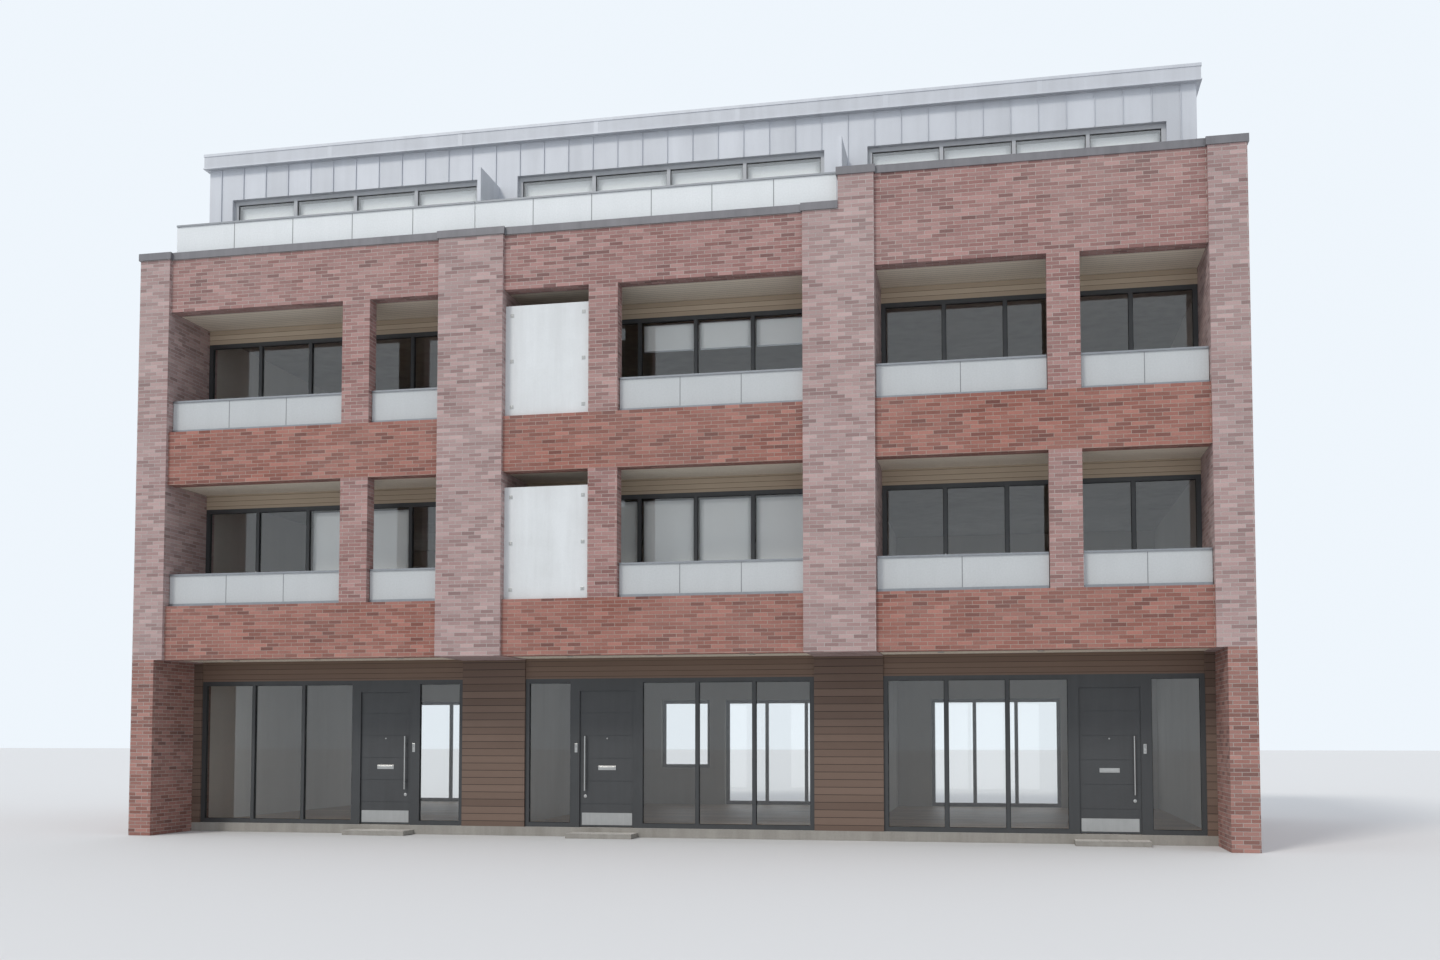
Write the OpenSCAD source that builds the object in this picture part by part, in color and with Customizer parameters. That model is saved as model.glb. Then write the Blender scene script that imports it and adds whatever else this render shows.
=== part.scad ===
// Row of three modern terraced houses in brick: a brick grid of piers, bands and pillars
// with open loggias, a ground storey set back under it, and a set-back clad top storey.
// The front faces -Y. Millimetres; the origin is at the centre of the footprint, on the ground.

/* [Plan] */
// Distance from one party line to the next
house_pitch = 5950; // [5600:50:6600]
// Depth of the row from the front of the piers to the rear wall
row_depth = 9600; // [8400:100:12000]
// Depth of the loggias, and of the ground storey's set-back
loggia_depth = 1200; // [1000:50:1500]
// Thickness of the end walls and party walls
wall_t = 400; // [340:20:460]
// Thickness of the rear wall
rear_wall_t = 350; // [300:10:400]

/* [Storeys] */
// Top of the ground floor
ground_floor_z = 150; // [120:10:180]
// Floor to floor height of the upper storeys
storey_h = 2950; // [2800:50:3100]
// Thickness of a floor slab with its screed
slab_t = 270; // [220:10:300]
// Height of the low parapets above the head of the loggias under them
parapet_h = 1020; // [950:10:1100]
// How far the right-hand house's parapet rises above the low ones
parapet_step = 520; // [450:10:600]
// Height of the top storey's walls
top_storey_h = 2560; // [2350:10:2600]
// Thickness of the roof slab
roof_t = 270; // [220:10:320]

/* [Brick grid] */
// Width of the pier that each house has on either side
half_pier_w = 550; // [500:10:600]
// Height of a brick band
band_h = 900; // [850:10:950]
// Thickness of the bands
band_t = 250; // [200:10:290]
// How far the piers stand in front of the bands
pier_proud = 60; // [30:5:90]
// Width of the pillar between a house's two openings
pillar_w = 480; // [420:10:540]
// Width of the wide opening of the left house
left_wide_w = 3150; // [2500:50:3200]
// Width of the wide opening of the middle house
middle_wide_w = 2950; // [2500:50:3200]
// Width of the wide opening of the right house
right_wide_w = 2550; // [2400:50:3200]

/* [Linings] */
// Thickness of the soffit boards
soffit_t = 60; // [40:5:70]
// How far the soffit boards lie above the foot of a band
soffit_lift = 20; // [0:5:30]
// Height of the lintel boards over the loggia windows
lintel_h = 250; // [200:10:300]
// Height of the lintel boards over the ground storey windows
ground_lintel_h = 340; // [300:10:400]
// Thickness of the lintel boards
lintel_t = 110; // [90:5:120]

/* [Windows and doors] */
// Width of a window frame's section
frame_w = 70; // [55:5:85]
// Width of a mullion between two lights
mullion_w = 60; // [50:5:70]
// Depth of a window frame
frame_d = 90; // [80:5:100]
// How far the frames lie behind the face of the wall
frame_inset = 40; // [20:5:60]
// Thickness of a glass unit
glass_t = 28; // [20:1:32]
// How far the glass reaches into its frame
glass_seat = 12; // [8:1:16]
// Width of the door unit in the ground storey
door_unit_w = 1100; // [1050:10:1180]
// Width of the glazed light beside the door
side_light_w = 850; // [780:10:900]
// Height of the door leaf
door_h = 2250; // [2100:10:2300]
// Height of the frame over the door leaf
over_door_h = 182; // [100:2:240]
// Thickness of the door leaf
door_t = 68; // [60:1:70]
// Gap between the door leaf and its frame
door_gap = 9; // [8:0.5:10]
// Lip of the door frame that the leaf closes against
door_lip = 22; // [18:1:30]
// Radius of a hinge's knuckles
hinge_r = 10; // [9:0.5:12]
// Radius of a hinge's pin
hinge_pin_r = 5; // [4:0.5:6]
// Running clearance in the hinges
hinge_play = 0.3; // [0.2:0.05:0.5]
// Height of a hinge
hinge_h = 120; // [90:5:150]
// Radius of the pull handle
handle_r = 14; // [12:1:16]
// Length of the pull handle
handle_h = 900; // [600:20:1200]
// Height of the steps at the front doors
step_h = 75; // [60:5:90]
// Depth of those steps
step_d = 420; // [350:10:500]
// Height of the windows in the rear wall
rear_window_h = 1500; // [1300:20:1600]
// Height of their sills above the floor
rear_sill_h = 800; // [700:20:900]
// Height of the garden doors
garden_door_h = 2300; // [2100:20:2400]
// Width of the garden doors
garden_door_w = 2700; // [2400:50:2800]
// Height of the windows in the rear of the top storey
top_rear_window_h = 1350; // [1200:20:1400]
// Distance of the rear windows from the piers' lines
rear_margin = 350; // [300:10:400]
// Depth of the rear windows' outer reveals
reveal_d = 150; // [120:10:180]
// How far the sills stand out from the wall
sill_out = 25; // [15:1:25]
// Height of the sills' front edge
sill_t = 35; // [25:1:45]
// How far the sills' tops fall from the frame to the front edge
sill_fall = 15; // [5:1:25]
// Width of the wide windows in the rear wall
rear_wide_w = 2100; // [1800:50:2200]
// Width of the narrow windows in the rear wall
rear_narrow_w = 1100; // [900:50:1200]

/* [Balustrades] */
// Height of a loggia balustrade above its band
balustrade_h = 550; // [500:10:600]
// Thickness of the balustrade glass
balustrade_t = 20; // [16:1:24]
// Width of the rail and of the shoe that hold the glass
shoe_w = 60; // [50:2:70]
// Height of the shoe
shoe_h = 50; // [40:2:60]
// Height of the top rail
rail_h = 30; // [24:1:40]
// Depth of the grooves that hold the glass
groove_d = 15; // [10:1:20]
// Gap between a balustrade and the brick at its ends
balustrade_gap = 10; // [5:1:15]
// Thickness of the privacy panels
panel_t = 45; // [40:1:60]
// Gap over the privacy panels
panel_gap = 240; // [200:10:280]

/* [Roof storey] */
// Overhang of the roof over the terraces
roof_front_overhang = 100; // [60:10:250]
// Distance of the roof's edge from the ends of the row
roof_side_setback = 460; // [440:10:500]
// Overhang of the roof at its two ends
roof_side_overhang = 60; // [40:10:80]
// Distance of the roof's edge from the rear
roof_rear_setback = 650; // [600:10:700]
// Overhang of the roof at the rear
roof_rear_overhang = 200; // [150:10:250]
// Width of the kerb round the roof
kerb_w = 180; // [150:10:220]
// Height of that kerb above the roof's covering
kerb_h = 60; // [40:5:80]
// Thickness of the clad walls
clad_t = 300; // [260:10:320]
// Height of the terrace windows
terrace_window_h = 2000; // [1900:10:2100]
// Distance of the terrace windows from the nearest cross wall
terrace_window_margin = 150; // [100:10:250]
// Depth of the terrace windows' outer reveals
clad_reveal_d = 80; // [60:5:100]
// Thickness of the parapet copings
coping_t = 40; // [30:2:60]
// Height of the copings' edge
coping_edge_h = 120; // [90:5:150]
// How far the copings' edge stands out
coping_out = 25; // [15:1:35]
// Height of the screens between the terraces
divider_h = 1830; // [1700:10:1900]
// Thickness of those screens
divider_t = 60; // [50:5:80]

/* [Hidden] */
houses = [0 : 2];
// The wide opening is on the left of the outer houses, and on the right of the middle one.
hand = [1, -1, 1];
wide_w = [left_wide_w, middle_wide_w, right_wide_w];

row_w = 3 * house_pitch;
door_head_z = ground_floor_z + door_gap + door_h + door_gap;
ground_head_z = door_head_z + over_door_h;
// Underside of the brick grid.
grid_base_z = ground_head_z + ground_lintel_h - soffit_lift;
front_y = -row_depth / 2;
rear_y = row_depth / 2;
wall_y = front_y + loggia_depth;
// The piers, the ground wall panels and the clad front wall all end on this line.
pier_back_y = wall_y + clad_t;
band_y = front_y + pier_proud;
band_back_y = band_y + band_t;
rear_inner_y = rear_y - rear_wall_t;
bay_w = house_pitch - 2 * half_pier_w;
glaze_y = wall_y + frame_inset;

function centre_x(i) = (i - 1) * house_pitch;
function grid_z(k) = grid_base_z + (k - 1) * storey_h;
function slab_base_z(k) = grid_z(k) + soffit_lift + soffit_t;
function floor_z(k) = slab_base_z(k) + slab_t;
parapet_z = grid_z(3) + parapet_h;
raised_parapet_z = parapet_z + parapet_step;
function house_parapet_z(i) = i == 2 ? raised_parapet_z : parapet_z;
// Inner faces of the walls on either side of house i.
function inner_left_x(i) = i == 0 ? -row_w / 2 + wall_t : centre_x(i) - house_pitch / 2 + wall_t / 2;
function inner_right_x(i) = i == 2 ? row_w / 2 - wall_t : centre_x(i) + house_pitch / 2 - wall_t / 2;
// The side of house i that its wide opening is on starts at -bay_w / 2 in its own frame.
function pillar_x(i) = -bay_w / 2 + wide_w[i];
// Where the low parapets step up to the raised one.
step_x = centre_x(1) + house_pitch / 2;
roof_base_z = floor_z(3) + top_storey_h;
roof_z = roof_base_z + roof_t;
top_left_x = -row_w / 2 + roof_side_setback + roof_side_overhang;
top_rear_y = rear_y - roof_rear_setback - roof_rear_overhang;

door_x = bay_w / 2 - side_light_w - door_unit_w;
leaf_w = door_unit_w - 2 * frame_w - 2 * door_gap;
leaf_x = door_x + frame_w + door_gap;
leaf_y = glaze_y + door_lip + door_gap;
// The frame's inner face is flush with the leaf's.
door_frame_d = door_lip + door_gap + door_t;
hinge_x = leaf_x - door_gap / 2;
hinge_y = leaf_y + door_t + hinge_r;
hinge_flag_t = 4;
hinge_flag_w = 28;
hinge_bottoms = [0.1, 0.5, 0.86];
door_boards = 6;
// The handle's distance from the leaf's free edge, and its middle above the floor.
handle_inset = 110;
handle_mid_h = 1050;
handle_stand = 55;
handle_post_r = 8;
// Cuts run this far past the faces that they open.
past = 1;

brick_red = "#9b6c60";
brick_pale = "#a88f88";
metal_dark = "#3a3d40";
metal_pale = "#b4b7bb";
boards = "#7d7057";
concrete = "#a9a7a2";
glass_tint = "#8fa3ad";
opal = "#cfd6da";
panel_white = "#e6e9ea";

module block(x0, x1, y0, y1, z0, z1) {
    translate([x0, y0, z0]) cube([x1 - x0, y1 - y0, z1 - z0]);
}

// Places its children in house i's own frame, in which the wide opening is on the left.
module in_house(i) {
    translate([centre_x(i), 0, 0]) scale_hand(hand[i]) children();
}

module scale_hand(h) {
    if (h > 0) children();
    else mirror([1, 0, 0]) children();
}

// Left edge and width of each light in a frame from x0 to x1.
function light_w(x0, x1, cols) = (x1 - x0 - 2 * frame_w - (cols - 1) * mullion_w) / cols;
function light_x(x0, x1, cols, c) = x0 + frame_w + c * (light_w(x0, x1, cols) + mullion_w);

// A window frame from x0 to x1 and z0 to z1, with a groove round each light for the edge of its glass.
module frame(x0, x1, z0, z1, y0, cols) {
    w = light_w(x0, x1, cols);
    difference() {
        block(x0, x1, y0, y0 + frame_d, z0, z1);
        for (c = [0 : cols - 1]) {
            lx = light_x(x0, x1, cols, c);
            block(lx, lx + w, y0 - past, y0 + frame_d + past, z0 + frame_w, z1 - frame_w);
        }
        panes(x0, x1, z0, z1, y0, cols);
    }
}

// The glass units in such a frame.
module panes(x0, x1, z0, z1, y0, cols) {
    w = light_w(x0, x1, cols);
    for (c = [0 : cols - 1]) {
        lx = light_x(x0, x1, cols, c);
        block(lx - glass_seat, lx + w + glass_seat,
              y0 + (frame_d - glass_t) / 2, y0 + (frame_d + glass_t) / 2,
              z0 + frame_w - glass_seat, z1 - frame_w + glass_seat);
    }
}

module ground_slab() {
    color(concrete) union() {
        block(-row_w / 2 + wall_t, row_w / 2 - wall_t, wall_y, rear_inner_y, 0, ground_floor_z);
        // A step before each front door.
        for (i = houses) in_house(i) block(door_x, door_x + door_unit_w, wall_y - step_d, wall_y, 0, step_h);
    }
}

// The end walls stand on the ground, come forward under the grid's corners and shut off the terraces.
module end_wall(top_z) {
    union() {
        block(0, wall_t, pier_back_y, rear_y, 0, top_z - coping_t);
        block(0, wall_t, front_y, pier_back_y, 0, grid_base_z);
        block(0, wall_t, band_back_y, pier_back_y, floor_z(3), top_z - coping_t);
    }
}

module left_end_wall() {
    color(brick_red) translate([-row_w / 2, 0, 0]) end_wall(parapet_z);
}

module right_end_wall() {
    color(brick_red) translate([row_w / 2 - wall_t, 0, 0]) end_wall(raised_parapet_z);
}

module party_walls() {
    color(concrete) for (i = [0 : 1]) {
        x = centre_x(i) + house_pitch / 2;
        union() {
            block(x - wall_t / 2, x + wall_t / 2, pier_back_y, rear_inner_y, ground_floor_z, floor_z(3));
            block(x - wall_t / 2, x + wall_t / 2, pier_back_y, top_rear_y - clad_t, floor_z(3), roof_base_z);
        }
    }
}

// The rear openings of storey k, in a house's own frame:
// [left edge, width, foot above the floor, height, lights].
narrow_rear_x = bay_w / 2 - rear_margin - rear_narrow_w;
wide_rear_x = -bay_w / 2 + rear_margin;
function rear_openings(k) = k == 0
    ? [[wide_rear_x, garden_door_w, 0, garden_door_h, 3],
       [narrow_rear_x, rear_narrow_w, rear_sill_h, rear_window_h, 1]]
    : [[wide_rear_x, rear_wide_w, rear_sill_h, rear_height(k), 2],
       [narrow_rear_x, rear_narrow_w, rear_sill_h, rear_height(k), 1]];
function rear_height(k) = k == 3 ? top_rear_window_h : rear_window_h;

function storey_floor_z(k) = k == 0 ? ground_floor_z : floor_z(k);

module rear_wall() {
    color(brick_red) difference() {
        union() {
            block(-row_w / 2 + wall_t, step_x, rear_inner_y, rear_y, 0, parapet_z - coping_t);
            block(step_x, row_w / 2 - wall_t, rear_inner_y, rear_y, 0, raised_parapet_z - coping_t);
        }
        for (i = houses, k = [0 : 2]) in_house(i) for (o = rear_openings(k)) {
            z = storey_floor_z(k) + o[2];
            block(o[0], o[0] + o[1], rear_inner_y - past, rear_y + past, z, z + o[3]);
            if (o[2] > 0) sill_seat(o[0], o[0] + o[1], rear_y, rear_frame_y + frame_d, z);
        }
    }
}

rear_frame_y = rear_y - reveal_d - frame_d;

// A sill with a sloping top, from the frame to its drip edge outside the wall.
module sill(x0, x1, face_y, frame_y, z) {
    translate([x0, 0, 0]) rotate([90, 0, 90]) linear_extrude(x1 - x0) polygon([
        [frame_y, z], [face_y + sill_out, z - sill_fall], [face_y + sill_out, z - sill_fall - sill_t],
        [face_y, z - sill_fall - sill_t], [face_y, z - sill_fall - sill_t / 2],
        [frame_y, z - sill_fall - sill_t / 2]
    ]);
}

// The square cut in a wall that a sill is bedded in.
module sill_seat(x0, x1, face_y, frame_y, z) {
    block(x0, x1, frame_y, face_y + past, z - sill_fall - sill_t / 2, z + past);
}

module window_sills() {
    color(metal_dark) for (i = houses, k = [0 : 3]) in_house(i) for (o = rear_openings(k)) if (o[2] > 0) {
        z = storey_floor_z(k) + o[2];
        if (k < 3) sill(o[0], o[0] + o[1], rear_y, rear_frame_y + frame_d, z);
        else sill(o[0], o[0] + o[1], top_rear_y, top_rear_frame_y + frame_d, z);
    }
}

module rear_frames() {
    color(metal_dark) for (i = houses, k = [0 : 2]) in_house(i) for (o = rear_openings(k)) {
        z = storey_floor_z(k) + o[2];
        frame(o[0], o[0] + o[1], z, z + o[3], rear_frame_y, o[4]);
    }
}

module rear_glass() {
    color(glass_tint, 0.5) for (i = houses, k = [0 : 2]) in_house(i) for (o = rear_openings(k)) {
        z = storey_floor_z(k) + o[2];
        panes(o[0], o[0] + o[1], z, z + o[3], rear_frame_y, o[4]);
    }
}

// Half a party pier, or an end pier. Up to the terrace it is as deep as the loggias,
// and above that as thick as the parapet, which it follows in height.
module half_pier(x0, i) {
    union() {
        block(x0, x0 + half_pier_w, front_y, pier_back_y, grid_base_z, floor_z(3));
        block(x0, x0 + half_pier_w, front_y, band_back_y, floor_z(3), house_parapet_z(i) - coping_t);
    }
}

module left_end_pier() {
    color(brick_pale) half_pier(-row_w / 2, 0);
}

// Each is two houses' half-piers. The right one is stepped where the raised parapet starts.
module party_piers() {
    color(brick_pale) for (i = [0 : 1]) {
        x = centre_x(i) + house_pitch / 2;
        union() {
            half_pier(x - half_pier_w, i);
            half_pier(x, i + 1);
        }
    }
}

module right_end_pier() {
    color(brick_pale) half_pier(row_w / 2 - half_pier_w, 2);
}

module band(i, z0, z1) {
    x = centre_x(i);
    block(x - bay_w / 2, x + bay_w / 2, band_y, band_back_y, z0, z1);
}

module lower_band() {
    color(brick_red) for (i = houses) band(i, grid_z(1), grid_z(1) + band_h);
}

module middle_band() {
    color(brick_red) for (i = houses) band(i, grid_z(2), grid_z(2) + band_h);
}

module front_parapets() {
    color(brick_red) for (i = houses) band(i, grid_z(3), house_parapet_z(i) - coping_t);
}

module loggia_pillars() {
    color(brick_red) for (i = houses, k = [1 : 2]) in_house(i) {
        block(pillar_x(i), pillar_x(i) + pillar_w, band_y, band_back_y, grid_z(k) + band_h, grid_z(k + 1));
    }
}

// The tops of the piers, parapets, end walls and rear wall, in plan.
module parapet_plan() {
    for (i = houses) translate([centre_x(i), 0]) {
        for (x = [-house_pitch / 2, house_pitch / 2 - half_pier_w]) {
            translate([x, front_y]) square([half_pier_w, pier_proud + band_t]);
        }
        translate([-bay_w / 2, band_y]) square([bay_w, band_t]);
        translate([-house_pitch / 2, rear_inner_y]) square([house_pitch, rear_wall_t]);
    }
    for (x = [-row_w / 2, row_w / 2 - wall_t]) {
        translate([x, front_y]) square([wall_t, row_depth]);
    }
}

// The part of that plan between x0 and x1.
module parapet_span(x0, x1) {
    intersection() {
        parapet_plan();
        translate([x0, front_y]) square([x1 - x0, row_depth]);
    }
}

// A metal capping with its edges turned down on both sides.
module capping(x0, x1, z) {
    translate([0, 0, z - coping_edge_h]) difference() {
        linear_extrude(coping_edge_h) offset(delta = coping_out) parapet_span(x0, x1);
        translate([0, 0, -past]) linear_extrude(coping_edge_h - coping_t + past) parapet_span(x0, x1);
    }
}

module parapet_copings() {
    color(metal_dark) {
        // The low capping stops against the raised brickwork.
        difference() {
            capping(-row_w / 2, step_x, parapet_z);
            translate([step_x, front_y - row_depth, 0]) cube([row_w, 3 * row_depth, roof_z]);
        }
        capping(step_x, row_w / 2, raised_parapet_z);
    }
}

module first_floor_slab() { floor_slab(1); }
module second_floor_slab() { floor_slab(2); }
module terrace_slab() { floor_slab(3); }

module floor_slab(k) {
    color(concrete) for (i = houses) {
        x = centre_x(i);
        union() {
            block(x - bay_w / 2, x + bay_w / 2, band_back_y, pier_back_y, slab_base_z(k), floor_z(k));
            block(inner_left_x(i), inner_right_x(i), pier_back_y, rear_inner_y, slab_base_z(k), floor_z(k));
        }
    }
}

// Boards under the overhang and under the slabs over the loggias.
module soffit_boards() {
    color(boards) for (i = houses, k = [1 : 3]) {
        x = centre_x(i);
        block(x - bay_w / 2, x + bay_w / 2, band_back_y, glaze_y, grid_z(k) + soffit_lift, slab_base_z(k));
    }
}

// Boards from the head of a storey's windows up to the slab.
module lintel_boards() {
    color(boards) for (i = houses, k = [0 : 2]) {
        x = centre_x(i);
        drop = k == 0 ? ground_lintel_h : lintel_h;
        block(x - bay_w / 2, x + bay_w / 2, glaze_y, glaze_y + lintel_t,
              grid_z(k + 1) + soffit_lift - drop, slab_base_z(k + 1));
    }
}

// Under each pier the ground storey's wall is closed by a clad panel.
module ground_wall_panels() {
    color(metal_dark) {
        block(-row_w / 2 + wall_t, -row_w / 2 + half_pier_w,
              wall_y, pier_back_y, ground_floor_z, grid_base_z);
        for (i = [0 : 1]) {
            x = centre_x(i) + house_pitch / 2;
            block(x - half_pier_w, x + half_pier_w, wall_y, pier_back_y, ground_floor_z, grid_base_z);
        }
        block(row_w / 2 - half_pier_w, row_w / 2 - wall_t,
              wall_y, pier_back_y, ground_floor_z, grid_base_z);
    }
}

module ground_units(i) {
    in_house(i) {
        frame(-bay_w / 2, door_x, ground_floor_z, ground_head_z, glaze_y, 3);
        frame(door_x + door_unit_w, bay_w / 2, ground_floor_z, ground_head_z, glaze_y, 1);
    }
}

module ground_front_frames() {
    color(metal_dark) for (i = houses) ground_units(i);
}

module ground_front_glass() {
    color(glass_tint, 0.5) for (i = houses) in_house(i) {
        panes(-bay_w / 2, door_x, ground_floor_z, ground_head_z, glaze_y, 3);
        panes(door_x + door_unit_w, bay_w / 2, ground_floor_z, ground_head_z, glaze_y, 1);
    }
}

// A hinge's knuckle from z0 to z1, on a flag that reaches dir_x sideways to what carries it.
module knuckle(z0, z1, dir_x) {
    back_y = leaf_y + door_t;
    union() {
        translate([hinge_x, hinge_y, z0]) cylinder(r = hinge_r, h = z1 - z0, $fn = 32);
        translate([dir_x > 0 ? hinge_x : hinge_x - hinge_flag_w, back_y, z0])
            cube([hinge_flag_w, hinge_flag_t, z1 - z0]);
    }
}

function hinge_z(f) = ground_floor_z + door_gap + f * (door_h - hinge_h);

// The frame's outer knuckles carry the pin, and the leaf's knuckle turns between them.
module frame_knuckles(f) {
    z = hinge_z(f);
    third = hinge_h / 3;
    union() {
        knuckle(z, z + third - hinge_play, -1);
        knuckle(z + 2 * third + hinge_play, z + hinge_h, -1);
        translate([hinge_x, hinge_y, z]) cylinder(r = hinge_pin_r, h = hinge_h, $fn = 32);
    }
}

module leaf_knuckle(f) {
    z = hinge_z(f);
    third = hinge_h / 3;
    difference() {
        knuckle(z + third, z + 2 * third, 1);
        translate([hinge_x, hinge_y, z]) cylinder(r = hinge_pin_r + hinge_play, h = hinge_h, $fn = 32);
    }
}

// Two jambs and a head, with a lip outside that the leaf closes against.
module door_frame() {
    x0 = door_x;
    x1 = door_x + door_unit_w;
    back_y = glaze_y + door_frame_d;
    union() {
        difference() {
            block(x0, x1, glaze_y, back_y, ground_floor_z, ground_head_z);
            block(x0 + frame_w + door_lip, x1 - frame_w - door_lip,
                  glaze_y - past, glaze_y + door_lip + past,
                  ground_floor_z - past, door_head_z - door_lip);
            block(x0 + frame_w, x1 - frame_w, glaze_y + door_lip, back_y + past,
                  ground_floor_z - past, door_head_z);
        }
        for (f = hinge_bottoms) frame_knuckles(f);
    }
}

module door_frames() {
    color(metal_dark) for (i = houses) in_house(i) door_frame();
}

module leaf(i) {
    foot_z = ground_floor_z + door_gap;
    groove = 12;
    in_house(i) union() {
        difference() {
            block(leaf_x, leaf_x + leaf_w, leaf_y, leaf_y + door_t, foot_z, foot_z + door_h);
            // Shallow grooves across the outer face.
            for (g = [1 : door_boards - 1]) {
                z = foot_z + g * door_h / door_boards;
                block(leaf_x - past, leaf_x + leaf_w + past, leaf_y - past, leaf_y + groove / 2,
                      z - groove / 2, z + groove / 2);
            }
        }
        for (f = hinge_bottoms) leaf_knuckle(f);
    }
}

// A straight pull on two stand-offs, near the leaf's free edge.
module pull_handle(i) {
    x = leaf_x + leaf_w - handle_inset;
    z = ground_floor_z + handle_mid_h - handle_h / 2;
    in_house(i) translate([x, leaf_y - handle_stand, z]) union() {
        cylinder(r = handle_r, h = handle_h, $fn = 32);
        for (s = [0.15, 0.85]) {
            translate([0, 0, s * handle_h]) rotate([-90, 0, 0])
                cylinder(r = handle_post_r, h = handle_stand, $fn = 24);
        }
    }
}

module left_door() { color(metal_dark) leaf(0); }
module left_door_handle() { color("silver") pull_handle(0); }
module middle_door() { color(metal_dark) leaf(1); }
module middle_door_handle() { color("silver") pull_handle(1); }
module right_door() { color(metal_dark) leaf(2); }
module right_door_handle() { color("silver") pull_handle(2); }

loggia_lights = 5;
function loggia_head_z(k) = grid_z(k + 1) + soffit_lift - lintel_h;

module loggia_frames(k) {
    color(metal_dark) for (i = houses) {
        x = centre_x(i);
        frame(x - bay_w / 2, x + bay_w / 2, floor_z(k), loggia_head_z(k), glaze_y, loggia_lights);
    }
}

module loggia_glass(k) {
    color(glass_tint, 0.5) for (i = houses) {
        x = centre_x(i);
        panes(x - bay_w / 2, x + bay_w / 2, floor_z(k), loggia_head_z(k), glaze_y, loggia_lights);
    }
}

module first_floor_frames() { loggia_frames(1); }
module first_floor_glass() { loggia_glass(1); }
module second_floor_frames() { loggia_frames(2); }
module second_floor_glass() { loggia_glass(2); }

// Each balustrade as [house, left edge, width, foot height, height], in the house's own frame.
balustrades = [
    for (i = houses, k = [1 : 2]) [i, -bay_w / 2, wide_w[i], grid_z(k) + band_h, balustrade_h],
    for (i = [0, 2], k = [1 : 2]) [i, pillar_x(i) + pillar_w, bay_w - wide_w[i] - pillar_w,
                                   grid_z(k) + band_h, balustrade_h],
    // On the terraces they run on over the party piers, the middle one up to the raised capping's edge.
    for (i = [0 : 1]) let (x0 = i == 0 ? -bay_w / 2 : coping_out - house_pitch / 2)
        [i, x0, house_pitch / 2 - x0, parapet_z, raised_parapet_z - parapet_z]
];
balustrade_mid_y = (band_y + band_back_y) / 2;

module along_balustrade(b, z0, z1, t) {
    in_house(b[0]) {
        block(b[1] + balustrade_gap, b[1] + b[2] - balustrade_gap,
              balustrade_mid_y - t / 2, balustrade_mid_y + t / 2, z0, z1);
    }
}

module balustrade_shoes() {
    color(metal_pale) for (b = balustrades) difference() {
        along_balustrade(b, b[3], b[3] + shoe_h, shoe_w);
        in_house(b[0]) block(b[1], b[1] + b[2], balustrade_mid_y - balustrade_t / 2,
                             balustrade_mid_y + balustrade_t / 2,
                             b[3] + shoe_h - 2 * groove_d, b[3] + shoe_h + past);
    }
}

module balustrade_glass() {
    color(opal, 0.7) for (b = balustrades) {
        along_balustrade(b, b[3] + shoe_h - 2 * groove_d, b[3] + b[4] - rail_h + groove_d, balustrade_t);
    }
}

module balustrade_rails() {
    color(metal_pale) for (b = balustrades) difference() {
        along_balustrade(b, b[3] + b[4] - rail_h, b[3] + b[4], shoe_w);
        in_house(b[0]) block(b[1], b[1] + b[2], balustrade_mid_y - balustrade_t / 2,
                             balustrade_mid_y + balustrade_t / 2, b[3] + b[4] - rail_h - past,
                             b[3] + b[4] - rail_h + groove_d);
    }
}

// The middle house has a tall white panel in each of its narrow openings.
module privacy_panels() {
    color(panel_white) for (k = [1 : 2]) in_house(1) {
        block(pillar_x(1) + pillar_w, bay_w / 2,
              balustrade_mid_y - panel_t / 2, balustrade_mid_y + panel_t / 2,
              grid_z(k) + band_h, grid_z(k + 1) - panel_gap);
    }
}

module terrace_dividers() {
    color(metal_pale) for (i = [0 : 1]) {
        x = centre_x(i) + house_pitch / 2;
        block(x - divider_t / 2, x + divider_t / 2, band_back_y + coping_out, wall_y,
              floor_z(3), floor_z(3) + divider_h);
    }
}

// The terrace windows run almost from one cross wall to the next.
top_wall_y = wall_y + clad_reveal_d;
top_rear_frame_y = top_rear_y - clad_reveal_d - frame_d;
function terrace_window_x0(i) = terrace_window_margin + (i == 0 ? top_left_x + clad_t : inner_left_x(i));
function terrace_window_x1(i) = -terrace_window_margin + (i == 2 ? -top_left_x - clad_t : inner_right_x(i));

module top_front_wall() {
    color(metal_pale) difference() {
        block(top_left_x, -top_left_x, wall_y, pier_back_y, floor_z(3), roof_base_z);
        for (i = houses) {
            block(terrace_window_x0(i), terrace_window_x1(i), wall_y - past, pier_back_y + past,
                  floor_z(3) - past, floor_z(3) + terrace_window_h);
        }
    }
}

module top_rear_wall() {
    color(metal_pale) difference() {
        block(top_left_x, -top_left_x, top_rear_y - clad_t, top_rear_y, floor_z(3), roof_base_z);
        for (i = houses) in_house(i) for (o = rear_openings(3)) {
            z = floor_z(3) + o[2];
            block(o[0], o[0] + o[1], top_rear_y - clad_t - past, top_rear_y + past, z, z + o[3]);
            sill_seat(o[0], o[0] + o[1], top_rear_y, top_rear_frame_y + frame_d, z);
        }
    }
}

module top_side_walls() {
    color(metal_pale) for (s = [0, 1]) mirror([s, 0, 0]) {
        block(top_left_x, top_left_x + clad_t, pier_back_y, top_rear_y - clad_t, floor_z(3), roof_base_z);
    }
}

terrace_lights = 4;

module top_frames() {
    color(metal_pale) for (i = houses) {
        frame(terrace_window_x0(i), terrace_window_x1(i), floor_z(3), floor_z(3) + terrace_window_h,
              top_wall_y, terrace_lights);
        in_house(i) for (o = rear_openings(3)) {
            z = floor_z(3) + o[2];
            frame(o[0], o[0] + o[1], z, z + o[3], top_rear_frame_y, o[4]);
        }
    }
}

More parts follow.
